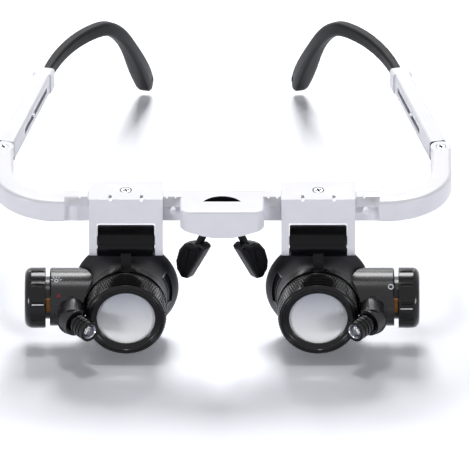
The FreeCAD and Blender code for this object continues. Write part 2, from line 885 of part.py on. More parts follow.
def battery_cap():
    """Cap that turns as the switch: rounded outer edge and ten grip flutes."""
    bore = s.neck_radius + s.fit_gap
    inner_end = cap_end - s.cap_wall
    shell = doc.addObject("PartDesign::Body", "Cap")
    section = draw(shell, "XY_Plane", [
        (cap_start, bore),
        (cap_start, s.cap_radius),
        (cap_end - s.cap_round, s.cap_radius),
        (cap_end, s.cap_radius - s.cap_round, s.cap_round, 1),
        (cap_end, 0),
        (inner_end, 0),
        (inner_end, bore),
    ])
    solid = shell.newObject("PartDesign::Revolution", "CapTurned")
    solid.Profile = section
    solid.ReferenceAxis = (section, ["H_Axis"])
    solid.Angle = 360
    flute = draw(shell, "YZ_Plane", [
        (-s.grip_width / 2, s.cap_radius + s.grip_depth),
        (s.grip_width / 2, s.cap_radius + s.grip_depth),
        (s.grip_width / 4, s.cap_radius - s.grip_depth),
        (-s.grip_width / 4, s.cap_radius - s.grip_depth),
    ])
    flute.AttachmentOffset = FreeCAD.Placement(Vector(0, 0, 0), FreeCAD.Rotation())
    flute.setExpression("AttachmentOffset.Base.z", (cap_start + s.cap_gap / 2).text)
    pocket = shell.newObject("PartDesign::Pocket", "CapFlute")
    pocket.Profile = flute
    bind(pocket, "Length", s.cap_length - s.cap_round - s.cap_gap / 2)
    pocket.Reversed = True
    doc.recompute()
    grips = shell.newObject("PartDesign::PolarPattern", "CapGrips")
    grips.Originals = [pocket]
    grips.Axis = (section, ["H_Axis"])
    grips.Angle = 360
    grips.Occurrences = 10
    shell.Tip = grips
    pair("battery_cap", place(shell, (0, s.battery_back, axis_z)))


def cap_contact():
    """Brass disc with a boss that presses on the outer cell."""
    inner_end = cap_end - s.cap_wall
    boss = neck_end - s.contact_thick + s.fit_gap
    plate_start = neck_end + s.face_gap
    body = turned("CapContact", "XY_Plane", "H_Axis", [
        (boss, 0),
        (boss, s.contact_boss_radius),
        (plate_start, s.contact_boss_radius),
        (plate_start, s.contact_radius),
        (inner_end, s.contact_radius),
        (inner_end, 0),
    ])
    pair("cap_contact", place(body, (0, s.battery_back, axis_z)))


def on_ball(thing):
    """Stand a lamp piece, modelled to face the front, on the right-hand lamp ball."""
    place(thing, (lamp_ball_x, lamp_ball_y, axis_z))
    return turn(thing, Vector(0, 0, -1), s.lamp_aim)


def lamp_head():
    """Ringed barrel with a ball behind it and a cup in front of it."""
    cup_floor = s.lamp_reach - s.lamp_cup_depth
    corners = [
        (s.wire_bore_radius, 0),
        (s.stem_radius, 0),
        (s.stem_radius, -s.lamp_back),
        (s.lamp_radius, -s.lamp_back),
    ]
    for ring in range(1, 4):
        start = s.lamp_back + s.ring_pitch * ring
        low = s.lamp_radius - s.ring_groove_depth
        corners.append((s.lamp_radius, s.ring_groove - start))
        corners.append((low, s.ring_groove - start))
        corners.append((low, -start))
        corners.append((s.lamp_radius, -start))
    corners += [
        (s.lamp_radius, -s.lamp_reach),
        (s.lamp_cup_radius, -s.lamp_reach),
        (s.lamp_cup_radius, -cup_floor),
        (s.led_base_radius + s.fit_gap, -cup_floor),
        (s.led_base_radius + s.fit_gap, -s.led_base_at),
        (s.wire_bore_radius, -s.led_base_at),
    ]
    barrel = turned("LampBarrel", "XY_Plane", "V_Axis", corners)
    bulb = ball("LampBall", s.ball_radius)
    wire = cylinder("LampWireBore", s.wire_bore_radius, s.ball_radius * 3,
                    (0, -s.ball_radius * 3 / 2, 0), ALONG_Y)
    body = cut("Lamp", fused("LampSolid", barrel, bulb), wire)
    pair("lamp_head", on_ball(body))


def led():
    """Clear lamp with a domed tip, a base ring and two leads."""
    shoulder = s.lamp_reach - s.led_radius
    lens = turned("LedLens", "XY_Plane", "V_Axis", [
        (0, -s.led_base_at),
        (0, -s.lamp_reach),
        (s.led_radius, -shoulder, s.led_radius, -1),
        (s.led_radius, -s.led_base_at - s.led_base_thick),
        (s.led_base_radius, -s.led_base_at - s.led_base_thick),
        (s.led_base_radius, -s.led_base_at),
    ])
    leads = []
    for name, place_x in (("LedLeadA", s.lead_gap_half), ("LedLeadB", -s.lead_gap_half)):
        leads.append(cylinder(name, s.lead_radius, s.lead_length,
                              (place_x, -s.led_base_at, 0), ALONG_Y))
    pair("led", on_ball(fused("Led", lens, *leads)))


# Carriages

def at_carriage(x_low, x_high, y_low, y_high, z_low, z_high, name):
    """A box of the right-hand carriage, its X sizes counted from the carriage's middle."""
    return block(name, (s.pupil_half + x_low, y_low, z_low),
                 (s.pupil_half + x_high, y_high, z_high))


def carriage():
    """Front plate and lid round the rail, with a fork that hangs down to the hinge."""
    half = carriage_half
    plate_back = s.rail_front - s.run_gap
    lid_bottom = band_top + s.lid_gap
    front = at_carriage(-half, half, fork_front, plate_back,
                        band_bottom + s.plate_lift, lid_top, "CarriageFront")
    lid = at_carriage(-half, half, fork_front, fork_back, lid_bottom, lid_top, "CarriageLid")
    solids = [front, lid]
    tools = []
    for name, inner in (("Near", -half), ("Far", half - s.fork_thick)):
        outer = inner + s.fork_thick
        solids.append(at_carriage(inner, outer, fork_front, fork_back, tilt_z,
                                  band_bottom - s.run_gap, "Fork" + name))
        solids.append(at_carriage(inner, outer, fork_front, plate_back, tilt_z, lid_top,
                                  "ForkRoot" + name))
        solids.append(cylinder("ForkEnd" + name, s.fork_radius, s.fork_thick,
                               (s.pupil_half + inner, s.tilt_back, tilt_z), ALONG_X))
        tools.append(cylinder("RearScrewHole" + name, s.rear_screw_radius,
                              s.rear_screw_length + s.overrun,
                              (s.pupil_half + inner + s.fork_thick / 2,
                               fork_back + s.rear_plate_thick - s.rear_screw_length,
                               band_bottom - s.rear_screw_drop), ALONG_Y))
    for name, middle in (("NotchNear", -s.notch_spread), ("NotchFar", s.notch_spread)):
        tools.append(at_carriage(middle - s.notch_width / 2, middle + s.notch_width / 2,
                                 fork_front - s.overrun, fork_front + s.notch_depth * 4,
                                 lid_top - s.notch_depth, lid_top + s.overrun, name))
    tools.append(cylinder("CarriagePinHole", s.hinge_pin_radius, half * 3,
                          (s.pupil_half - half * 3 / 2, s.tilt_back, tilt_z), ALONG_X))
    tools.append(cylinder("ClampRecess", s.clamp_recess_radius, s.clamp_head_depth + s.overrun,
                          (s.pupil_half, clamp_y, lid_top - s.clamp_head_depth)))
    tools.append(cylinder("ClampHole", s.clamp_shank_radius, s.lid_thick * 2,
                          (s.pupil_half, clamp_y, lid_bottom - s.overrun)))
    pair("carriage", cut("Carriage", fused("CarriageSolid", *solids), *tools))


def carriage_rear():
    """Plate that closes the carriage behind the rail."""
    half = carriage_half
    back = fork_back + s.rear_plate_thick
    sheet_plate = at_carriage(-half, half, fork_back, back,
                              lid_top - s.rear_plate_height, lid_top, "RearPlate")
    holes = []
    for name, middle in (("Near", s.fork_thick / 2 - half), ("Far", half - s.fork_thick / 2)):
        holes.append(cylinder("RearHole" + name, s.rear_screw_radius, s.rear_plate_thick * 3,
                              (s.pupil_half + middle, fork_back - s.rear_plate_thick,
                               band_bottom - s.rear_screw_drop), ALONG_Y))
    pair("carriage_rear", cut("Rear", sheet_plate, *holes))


def carriage_screws():
    """Two small screws that hold the rear plate to the fork."""
    screws = []
    for name, middle in (("A", s.fork_thick / 2 - carriage_half),
                         ("B", carriage_half - s.fork_thick / 2)):
        screw = turned("RearScrew" + name, "XY_Plane", "V_Axis", [
            (0, 0),
            (s.rear_screw_radius, 0),
            (s.rear_screw_radius, s.rear_screw_length),
            (s.rear_head_radius, s.rear_screw_length),
            (s.rear_head_radius * SCREW_DOME_SHARE, s.rear_screw_length + s.rear_screw_radius),
            (0, s.rear_screw_length + s.rear_screw_radius),
        ])
        at_y = fork_back + s.rear_plate_thick - s.rear_screw_length
        screws.append(place(screw, (s.pupil_half + middle, at_y,
                                    band_bottom - s.rear_screw_drop)))
    pair("carriage_screws", fused("RearScrews", *screws))


def clamp_screw():
    """Slotted screw in the lid that presses on the rail."""
    head_bottom = lid_top - s.clamp_head_depth
    screw = turned("ClampTurned", "XZ_Plane", "V_Axis", [
        (0, band_top + s.fit_gap * 2),
        (s.clamp_shank_radius, band_top + s.fit_gap * 2),
        (s.clamp_shank_radius, head_bottom),
        (s.clamp_head_radius, head_bottom),
        (s.clamp_head_radius, lid_top),
        (0, lid_top),
    ])
    place(screw, (s.pupil_half, clamp_y, 0))
    slot = block("ClampSlot",
                 (s.pupil_half - s.clamp_head_radius * 2, clamp_y - s.drive_slot_width / 2,
                  lid_top - s.drive_slot_depth),
                 (s.pupil_half + s.clamp_head_radius * 2, clamp_y + s.drive_slot_width / 2,
                  lid_top + s.overrun))
    pair("clamp_screw", cut("Clamp", screw, slot))


def hinge_pin():
    """Steel axle through the fork and the roller."""
    pair("hinge_pin", cylinder("HingePin", s.hinge_pin_radius, carriage_half * 2,
                               (s.pupil_half - carriage_half, s.tilt_back, tilt_z), ALONG_X))


# Frame front

def frame_side():
    """Right half of the band: link, round corner and side bar with the hinge ears."""
    low = band_bottom
    inner = s.corner_radius - s.band_depth
    section = round_box(inner, low, s.corner_radius, band_top, s.band_round)
    corner = doc.addObject("PartDesign::Body", "FrameCorner")
    sketch = draw(corner, "XZ_Plane", section)
    bend = corner.newObject("PartDesign::Revolution", "FrameCornerTurned")
    bend.Profile = sketch
    bend.ReferenceAxis = (sketch, ["V_Axis"])
    bend.Angle = 90
    bend.Reversed = True
    place(corner, (corner_x, s.corner_y, 0))
    side = plate("FrameSide", "XZ_Plane", section, s.hinge_y - s.corner_y, backwards=True)
    place(side, (corner_x, s.corner_y, 0))
    link_section = round_box(s.corner_y - s.corner_radius, low,
                             s.corner_y - inner, band_top, s.band_round)
    link = plate("FrameLink", "YZ_Plane", link_section, corner_x - rail_half)
    place(link, (rail_half, 0, 0))
    ear = cylinder("FrameEar", s.band_depth / 2, s.band_height, (hinge_x, s.hinge_y, low))
    return [corner, side, link, ear]


def rail_bar():
    """The bar that both carriages slide on, chamfered along its top front edge."""
    section = [
        (s.rail_front, band_bottom),
        (rail_back, band_bottom),
        (rail_back, band_top),
        (s.rail_front + s.rail_chamfer, band_top),
        (s.rail_front, band_top - s.rail_chamfer),
    ]
    return plate("RailBar", "YZ_Plane", section, rail_half * 2, both_ways=True)


def bridge_block():
    """Bridge with a straight top, a pointed underside and round front corners."""
    half = bridge_half
    low = band_bottom
    front_view = plate("BridgeFace", "XZ_Plane", [
        (-half, low + s.bridge_drop * BRIDGE_SIDE_SHARE),
        (-half * BRIDGE_SHOULDER_SHARE, low - s.bridge_drop * BRIDGE_SHOULDER_DROP_SHARE),
        (-half * BRIDGE_TIP_SHARE, low - s.bridge_drop),
        (half * BRIDGE_TIP_SHARE, low - s.bridge_drop),
        (half * BRIDGE_SHOULDER_SHARE, low - s.bridge_drop * BRIDGE_SHOULDER_DROP_SHARE),
        (half, low + s.bridge_drop * BRIDGE_SIDE_SHARE),
        (half, band_top),
        (-half, band_top),
    ], rail_back + s.overrun, backwards=True)
    top = doc.addObject("PartDesign::Body", "BridgePlan")
    plan = draw(top, "XY_Plane", [
        (s.bridge_corner - half, s.bridge_front, s.bridge_corner, -1),
        (half - s.bridge_corner, s.bridge_front),
        (half, s.bridge_front + s.bridge_corner, s.bridge_corner, -1),
        (half, rail_back),
        (-half, rail_back),
        (-half, s.bridge_front + s.bridge_corner),
    ])
    pad = top.newObject("PartDesign::Pad", "BridgePlanPad")
    pad.Profile = plan
    bind(pad, "Length", band_top)
    doc.recompute()
    rims = front_rim_edges(pad.Shape)
    rim = top.newObject("PartDesign::Fillet", "BridgeRim")
    rim.Base = (pad, rims)
    bind(rim, "Radius", s.bridge_edge)
    top.Tip = rim
    return common("Bridge", front_view, top)


def front_rim_edges(shape):
    """Names of the top edges of the bridge along its front and its two corners."""
    limit = s.bridge_front.value + s.bridge_corner.value
    names = []
    for index, edge in enumerate(shape.Edges, start=1):
        box = edge.BoundBox
        flat_on_top = abs(box.ZMin - band_top.value) + abs(box.ZMax - band_top.value) < 1e-6
        if flat_on_top and box.YMax < limit + 1e-6:
            names.append("Edge%d" % index)
    return names


def frame_front():
    """Bridge, rails, corner arms and hinge ears moulded in one."""
    side = frame_side()
    other = [mirrored(each.Name + "Left", each) for each in side]
    solid = fused("FrameSolid", rail_bar(), bridge_block(), *side, *other)
    tools = []
    chord = s.crescent_width / 2
    arc = (chord * chord + s.crescent_reach * s.crescent_reach) / (s.crescent_reach * 2)
    disc = cylinder("CrescentDisc", arc, s.crescent_depth + s.overrun,
                    (0, s.crescent_front + s.crescent_reach - arc,
                     band_top - s.crescent_depth))
    window = block("CrescentWindow", (-bridge_half, s.crescent_front, band_bottom),
                   (bridge_half, rail_back * 2, band_top + s.overrun * 2))
    tools.append(common("Crescent", disc, window))
    tools += rail_teeth()
    gap_low = band_bottom + s.ear_thick
    gap_high = band_top - s.ear_thick
    room = s.tongue_radius + s.run_gap
    for name, sign in (("Right", 1), ("Left", -1)):
        start = hinge_x * sign - s.band_depth
        tools.append(block("EarGap" + name, (start, s.hinge_y - room, gap_low),
                           (start + s.band_depth * 2, s.hinge_y + room, gap_high)))
        tools.append(cylinder("EarHole" + name, s.hinge_screw_radius,
                              s.band_height + s.overrun - s.ear_thick + s.hinge_screw_bite,
                              (hinge_x * sign, s.hinge_y,
                               band_bottom + s.ear_thick - s.hinge_screw_bite)))
        tools.append(cylinder("EarRecess" + name, s.hinge_head_radius,
                              s.hinge_head_depth + s.overrun,
                              (hinge_x * sign, s.hinge_y,
                               band_top - s.hinge_head_depth)))
        tools.append(pad_socket_hole(name, sign))
    for name, middle in stop_pin_places():
        tools.append(cylinder("StopHole" + name, s.stop_pin_radius, s.stop_pin_sunk + s.overrun,
                              (middle, s.rail_front - s.overrun, stop_pin_z()), ALONG_Y))
    piece("frame_front", cut("Frame", solid, *tools))


def rail_teeth():
    """Shallow marks across the top of both rails, one tooth pitch apart."""
    marks = []
    count = 12
    for index in range(count):
        offset = bridge_half + s.tooth_pitch * (index + TOOTH_START_SHARE)
        for name, sign in (("Right", 1), ("Left", -1)):
            middle = offset * sign
            marks.append(block("Tooth%s%d" % (name, index),
                               (middle - s.tooth_width / 2, s.rail_front - s.overrun,
                                band_top - s.tooth_depth),
                               (middle + s.tooth_width / 2, rail_back + s.overrun,
                                band_top + s.overrun)))
    return marks


def stop_pin_z():
    """Height of the stop pins, just under the rail's chamfer."""
    return band_top - s.rail_chamfer - s.stop_pin_radius


def stop_pin_places():
    """The stop pin of each rail, at the end of its carriage's travel to the right."""
    return (("Right", s.pupil_half + stop_reach), ("Left", stop_reach - s.pupil_half))


def rail_stop_pins():
    """One small round pin on the front of each rail."""
    pins = []
    for name, middle in stop_pin_places():
        pins.append(cylinder("StopPin" + name, s.stop_pin_radius,
                             s.stop_pin_sunk + s.stop_pin_length,
                             (middle, s.rail_front - s.stop_pin_length, stop_pin_z()),
                             ALONG_Y))
    piece("rail_stop_pins", fused("StopPins", *pins))


def temple_hinge_screws():
    """The slotted screws that the temples turn on."""
    screws = []
    foot = band_bottom + s.ear_thick - s.hinge_screw_bite
    for name, sign in (("Right", 1), ("Left", -1)):
        body = turned("HingeScrew" + name, "XZ_Plane", "V_Axis", [
            (0, foot),
            (s.hinge_screw_radius, foot),
            (s.hinge_screw_radius, band_top - s.hinge_head_depth),
            (s.hinge_head_radius, band_top - s.hinge_head_depth),
            (s.hinge_head_radius, band_top),
            (0, band_top),
        ])
        place(body, (hinge_x * sign, s.hinge_y, 0))
        slot = block("HingeScrewSlot" + name,
                     (hinge_x * sign - s.hinge_head_radius * 2,
                      s.hinge_y - s.drive_slot_width / 2, band_top - s.drive_slot_depth),
                     (hinge_x * sign + s.hinge_head_radius * 2,
                      s.hinge_y + s.drive_slot_width / 2, band_top + s.overrun))
        screws.append(cut("HingeScrewCut" + name, body, slot))
    piece("temple_hinge_screws", fused("HingeScrews", *screws))


# Temples, legs and ear sleeves

def on_hinge(thing):
    """Stand a piece that was modelled along +Y on the right-hand temple hinge."""
    place(thing, (hinge_x, s.hinge_y, 0))
    return turn(thing, Vector(0, 0, 1), s.temple_angle)


def temple():
    """Hollow bar with a tongue in front and a long window on its inner face."""
    half = s.temple_thick / 2
    bar_start = s.band_depth / 2 + s.temple_shank_gap
    bar = plate("TempleBar", "XZ_Plane",
                round_box(-half, temple_z - s.temple_height / 2, half,
                          temple_z + s.temple_height / 2, s.temple_round),
                s.temple_length - bar_start, backwards=True)
    place(bar, (0, bar_start, 0))
    collar = plate("TempleCollar", "XZ_Plane",
                   round_box(-half - s.collar_step, temple_z - s.temple_height / 2,
                             half + s.collar_step, temple_z + s.temple_height / 2,
                             s.temple_round),
                   s.collar_length, backwards=True)
    place(collar, (0, s.temple_length - s.collar_length, 0))
    low = band_bottom + s.ear_thick + s.tongue_gap
    high = band_top - s.ear_thick - s.tongue_gap
    tongue_half = half - s.run_gap
    eye = cylinder("TempleEye", s.tongue_radius, high - low, (0, 0, low))
    root_block = block("TempleTongue", (-tongue_half, 0, low),
                       (tongue_half, bar_start + s.overrun, high))
    hole = cylinder("TempleHole", s.hinge_screw_radius + s.fit_gap, s.band_height,
                    (0, 0, band_bottom))
    channel_half = s.leg_thick / 2 + s.channel_gap
    channel_rise = s.leg_height / 2 + s.channel_gap
    channel = block("TempleChannel", (-channel_half, s.channel_start, temple_z - channel_rise),
                    (channel_half, s.temple_length + s.overrun, temple_z + channel_rise))
    window = block("TempleWindow",
                   (-half - s.overrun, s.window_start, temple_z - s.window_height / 2),
                   (0, window_end, temple_z + s.window_height / 2))
    body = cut("Temple", fused("TempleSolid", bar, collar, eye, root_block), hole, channel, window)
    pair("temple", on_hinge(body))


def temple_leg():
    """Flat bar that slides in the temple and carries the ear sleeve."""
    half = s.leg_thick / 2
    bar = block("LegBar", (-half, s.leg_start, temple_z - s.leg_height / 2),
                (half, leg_end, temple_z + s.leg_height / 2))
    hole = cylinder("LegPinHole", s.guide_pin_radius, s.leg_thick * 2,
                    (-s.leg_thick, s.guide_pin_at, temple_z), ALONG_X)
    pair("temple_leg", on_hinge(cut("Leg", bar, hole)))


def leg_guide_pin():
    """Pin of the leg that runs in the temple's window."""
    start = s.temple_thick / 2 - s.run_gap
    shank = cylinder("GuidePin", s.guide_pin_radius, start + s.leg_thick / 2,
                     (-start, s.guide_pin_at, temple_z), ALONG_X)
    tip = cone("GuidePinTip", s.guide_pin_radius / 2, s.guide_pin_radius,
               s.guide_pin_radius / 2, (-start - s.guide_pin_radius / 2, s.guide_pin_at,
                                        temple_z), ALONG_X)
    pair("leg_guide_pin", on_hinge(fused("GuidePinSolid", shank, tip)))


# The ear sleeve's line: the length of each step between its sections, as a share of its reach
SLEEVE_STEP_SHARES = (0.148, 0.148, 0.148, 0.148, 0.148, 0.148, 0.148, 0.148,
                      0.148, 0.148, 0.148, 0.148, 0.148, 0.09, 0.045)
# Degrees by which each step turns inwards from the temple's line, and dips
SLEEVE_TURNS = (2, 6.5, 11.5, 15, 17.5, 19, 17, 13, 8, 4.5, 2, 0.5, -1, -2, -2)
SLEEVE_DIPS = (0, 0, 1.5, 5, 9.5, 16, 32, 43, 48.5, 50, 50, 49.5, 49.5, 49, 49)
# The whole drop, as a share of the temple's height above the table
SLEEVE_DROP_SHARE = 0.945
# The section's thickness and height there, as shares of the sleeve's own
SLEEVE_THICK_SHARES = (0.78, 0.80, 0.86, 0.90, 0.95, 1.0, 1.02, 1.03,
                       1.07, 1.2, 1.4, 1.57, 1.64, 1.55, 1.3, 0.85)
SLEEVE_HEIGHT_SHARES = (0.96, 0.96, 0.96, 0.98, 1.0, 1.0, 1.0, 1.0,
                        1.0, 1.02, 1.08, 1.16, 1.2, 1.14, 1.0, 0.6)
SLEEVE_CORNER_SHARE = 0.32
TIP_HOLE_SHARE = 0.9


def sleeve_points():
    """The middle of each section of the right-hand ear sleeve."""
    angle = math.radians(s.temple_angle.value)
    start = Vector(hinge_x.value - math.sin(angle) * sleeve_start.value,
                   s.hinge_y.value + math.cos(angle) * sleeve_start.value,
                   temple_z.value)
    steps = list(zip(SLEEVE_STEP_SHARES, SLEEVE_TURNS, SLEEVE_DIPS))
    whole_dip = sum(share * math.sin(math.radians(dip)) for share, turned_by, dip in steps)
    drop = temple_z.value * SLEEVE_DROP_SHARE / whole_dip
    points = [start]
    for share, turned_by, dip in steps:
        way = angle + math.radians(turned_by)
        level = share * s.hook_reach.value * math.cos(math.radians(dip))
        down = share * math.sin(math.radians(dip)) * drop
        points.append(points[-1] + Vector(-math.sin(way) * level, math.cos(way) * level, -down))
    return points


def sleeve_section(middle, ahead, thick, height):
    """A rounded rectangle square to the sleeve's line."""
    side = Vector(ahead.y, -ahead.x, 0).normalize()
    up = side.cross(ahead).normalize()
    corner = min(thick, height) * SLEEVE_CORNER_SHARE
    half_side = thick / 2
    half_up = height / 2

    def at(x, y):
        return middle + side * x + up * y

    edges = []
    turns = ((1, 1), (-1, 1), (-1, -1), (1, -1))
    for index, (x_sign, y_sign) in enumerate(turns):
        x_next, y_next = turns[(index + 1) % 4]
        start, centre, end = corner_points(x_sign, y_sign, half_side, half_up, corner)
        middle_out = (Vector(centre[0] + x_sign * corner * math.sqrt(0.5),
                             centre[1] + y_sign * corner * math.sqrt(0.5), 0))
        edges.append(Part.Arc(at(*start), at(middle_out.x, middle_out.y), at(*end)).toShape())
        after = corner_points(x_next, y_next, half_side, half_up, corner)[0]
        edges.append(Part.LineSegment(at(*end), at(*after)).toShape())
    return Part.Wire(edges)


def corner_points(x_sign, y_sign, half_side, half_up, corner):
    """Start, centre and end of one rounded corner, going counterclockwise."""
    centre = (x_sign * (half_side - corner), y_sign * (half_up - corner))
    on_side = (x_sign * half_side, centre[1])
    on_top = (centre[0], y_sign * half_up)
    if x_sign * y_sign > 0:
        return on_side, centre, on_top
    return on_top, centre, on_side


def ear_sleeve():
    """Rubber hook that bends inwards and down to the table, with a cord hole at its tip."""
    points = sleeve_points()
    wires = []
    for index, point in enumerate(points):
        before = points[max(index - 1, 0)]
        after = points[min(index + 1, len(points) - 1)]
        if index == 0:
            after = points[1]
        ahead = (after - before).normalize()
        wires.append(sleeve_section(point, ahead, s.hook_thick.value * SLEEVE_THICK_SHARES[index],
                                    s.hook_height.value * SLEEVE_HEIGHT_SHARES[index]))
    skin = Part.makeLoft(wires, True, False)
    gap = s.fit_gap.value
    length = leg_end.value - sleeve_start.value
    pocket = Part.makeBox(s.leg_thick.value + gap * 2, length + gap + s.overrun.value,
                          s.leg_height.value + gap * 2,
                          Vector(-s.leg_thick.value / 2 - gap,
                                 sleeve_start.value - s.overrun.value,
                                 temple_z.value - s.leg_height.value / 2 - gap))
    pocket.Placement = FreeCAD.Placement(
        Vector(hinge_x.value, s.hinge_y.value, 0),
        FreeCAD.Rotation(Vector(0, 0, 1), s.temple_angle.value))
    tip_way = points[-3] - points[-4]
    side = Vector(tip_way.y, -tip_way.x, 0).normalize()
    hole_middle = points[-4] + tip_way * TIP_HOLE_SHARE
    hole = Part.makeCylinder(s.tip_hole_radius.value, s.hook_thick.value * 3,
                             hole_middle - side * s.hook_thick.value * 3 / 2, side)
    table = Part.makeBox(s.hook_reach.value, s.hook_reach.value, s.hook_height.value * 2,
                         Vector(0, points[-3].y, -s.hook_height.value * 2))
    thing = doc.addObject("Part::Feature", "EarSleeve")
    thing.Shape = skin.cut(pocket).cut(hole).cut(table)
    pair("ear_sleeve", thing)


# Nose pads

# The pad's outline about its middle, as shares of its width and its length
PAD_ACROSS_SHARES = (-0.52, -0.175, 0.06, 0.335, 0.47, 0.48, 0.355, 0.16, -0.06, -0.26)
PAD_UP_SHARES = (0.545, -0.39, -0.455, -0.365, -0.205, 0.07, 0.27, 0.375, 0.415, 0.545)


def pad_axes():
    """Directions across, through and along the right-hand nose pad."""
    down = Vector(pad_x.value - s.pad_root_x.value, s.pad_y.value - s.pad_root_y.value,
                  pad_z.value - band_top.value).normalize()
    inward = Vector(-1, 1, 0).normalize()
    across = down.cross(inward).normalize()
    through = across.cross(down).normalize()
    return across, through, down


def pad_rotation():
    """Turns a pad drawn in the XZ plane, top up, into its place."""
    across, through, down = pad_axes()
    return FreeCAD.Rotation(across, through, -down, "ZXY")


def pad_outline():
    """A straight nose side, a short foot, a bulged outer side and a notch by the stem."""
    return [(s.pad_width * across, s.pad_length * up)
            for across, up in zip(PAD_ACROSS_SHARES, PAD_UP_SHARES)]


def nose_pad():
    """Soft silicone pad with a blind hole for its stem."""
    body = doc.addObject("PartDesign::Body", "Pad")
    sketch = draw(body, "XZ_Plane", pad_outline())
    solid = body.newObject("PartDesign::Pad", "PadSolid")
    solid.Profile = sketch
    bind(solid, "Length", s.pad_thick)
    solid.Midplane = True
    doc.recompute()
    corners = body.newObject("PartDesign::Fillet", "PadCorners")
    corners.Base = (solid, ["Edge%d" % index for index, edge in enumerate(solid.Shape.Edges, start=1)
                            if edge.BoundBox.YLength > s.pad_thick.value / 2])
    bind(corners, "Radius", s.pad_corner_round)
    doc.recompute()
    soft = body.newObject("PartDesign::Fillet", "PadRound")
    rims = ["Edge%d" % index for index, edge in enumerate(corners.Shape.Edges, start=1)
            if edge.BoundBox.YLength < s.pad_thick.value / 2]
    soft.Base = (corners, rims)
    bind(soft, "Radius", s.pad_round)
    body.Tip = soft
    place(body, (pad_x, s.pad_y, pad_z), pad_rotation())
    stem = pad_stem_bar("PadStemTool", s.pad_stem_radius)
    pair("nose_pad", cut("NosePad", body, stem))


def pad_stem_bar(name, radius):
    """Round bar from the bridge's socket into the pad's middle."""
    top = Vector(s.pad_root_x.value, s.pad_root_y.value, pad_root_z().value)
    middle = Vector(pad_x.value, s.pad_y.value, pad_z.value)
    way = middle - top
    rotation = FreeCAD.Rotation(Vector(0, 0, 1), way)
    length = way.Length - s.pad_length.value * STEM_STOP_SHARE
    return cylinder(name, radius, length, (s.pad_root_x, s.pad_root_y, pad_root_z()), rotation)


def pad_root_z():
    """Top of the stem, inside the bridge."""
    return band_bottom - s.bridge_drop + s.pad_root_sink


def pad_socket_hole(name, sign):
    """The hole in the bridge that the stem is pressed into."""
    top = Vector(s.pad_root_x.value, s.pad_root_y.value, pad_root_z().value)
    middle = Vector(pad_x.value, s.pad_y.value, pad_z.value)
    way = middle - top
    way.x = way.x * sign
    rotation = FreeCAD.Rotation(Vector(0, 0, 1), way)
    return cylinder("PadSocket" + name, s.pad_stem_radius, way.Length / 2,
                    (s.pad_root_x * sign, s.pad_root_y, pad_root_z()), rotation)


def nose_pad_stem():
    """Nylon stem pressed into the bridge and into the pad."""
    pair("nose_pad_stem", pad_stem_bar("StemBar", s.pad_stem_radius - s.fit_gap))


def build():
    """Make every piece."""
    lens_barrel()
    front_bezel()
    front_lens()
    lens_spacer()
    rear_lens()
    rear_ring()
    lens_holder()
    eye_cup()
    battery_housing()
    contact_leaf()
    battery_cells()
    contact_tab()
    battery_cap()
    cap_contact()
    lamp_head()
    led()
    carriage()
    carriage_rear()
    carriage_screws()
    clamp_screw()
    hinge_pin()
    frame_front()
    rail_stop_pins()
    temple_hinge_screws()
    temple()
    temple_leg()
    leg_guide_pin()
    ear_sleeve()
    nose_pad()
    nose_pad_stem()


def check_and_write():
    """Stop at any failed object or bad solid, then write one file for each piece."""
    failed = [each.Name for each in doc.Objects
              if "Invalid" in each.State or "Error" in each.State]
    if failed:
        raise SystemExit("failed objects: " + ", ".join(failed))
    for thing in PIECES:
        shape = thing.Shape
        if shape.isNull() or not shape.isValid() or not shape.Solids:
            raise SystemExit("bad solid: " + thing.Label)
    os.makedirs("parts", exist_ok=True)
    for thing in PIECES:
        thing.Shape.exportStep("parts/%s.step" % thing.Label)
        box = thing.Shape.optimalBoundingBox(False)
        print("%-22s %d solids %9.2f mm3  x %.1f..%.1f y %.1f..%.1f z %.1f..%.1f" % (
            thing.Label, len(thing.Shape.Solids), thing.Shape.Volume,
            box.XMin, box.XMax, box.YMin, box.YMax, box.ZMin, box.ZMax))


build()
doc.recompute()
check_and_write()
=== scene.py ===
import json
from math import cos, degrees, pi, radians, sin

import bmesh
import bpy
from mathutils import Matrix, Vector

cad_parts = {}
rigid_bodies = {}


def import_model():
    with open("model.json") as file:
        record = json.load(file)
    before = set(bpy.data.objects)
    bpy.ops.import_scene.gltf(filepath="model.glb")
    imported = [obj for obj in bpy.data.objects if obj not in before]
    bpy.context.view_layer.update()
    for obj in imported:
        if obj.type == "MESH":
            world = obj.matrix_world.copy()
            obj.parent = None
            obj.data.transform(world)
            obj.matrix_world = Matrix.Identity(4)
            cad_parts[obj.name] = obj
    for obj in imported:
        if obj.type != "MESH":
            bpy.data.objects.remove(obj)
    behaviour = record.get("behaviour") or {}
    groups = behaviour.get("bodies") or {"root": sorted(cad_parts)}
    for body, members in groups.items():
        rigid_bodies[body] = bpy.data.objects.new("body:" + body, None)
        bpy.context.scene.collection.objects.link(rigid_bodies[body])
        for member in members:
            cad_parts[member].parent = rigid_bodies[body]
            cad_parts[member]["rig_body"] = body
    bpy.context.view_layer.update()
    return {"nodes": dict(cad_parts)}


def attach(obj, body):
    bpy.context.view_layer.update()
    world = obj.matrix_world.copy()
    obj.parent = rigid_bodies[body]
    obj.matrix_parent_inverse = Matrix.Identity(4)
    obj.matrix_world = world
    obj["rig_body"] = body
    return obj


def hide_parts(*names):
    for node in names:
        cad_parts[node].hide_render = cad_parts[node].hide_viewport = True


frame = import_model()


# The setting: a white table top that runs on into a white background, as in a catalogue picture.
# A soft lamp hangs above and behind, so the shadow falls forward, a small one overhead lights the
# tubes, and a wide low one far behind draws the rims. Two low ones at the sides brighten the
# upright faces. Each lamp has its name, place, aim, width, height, watts and colour.

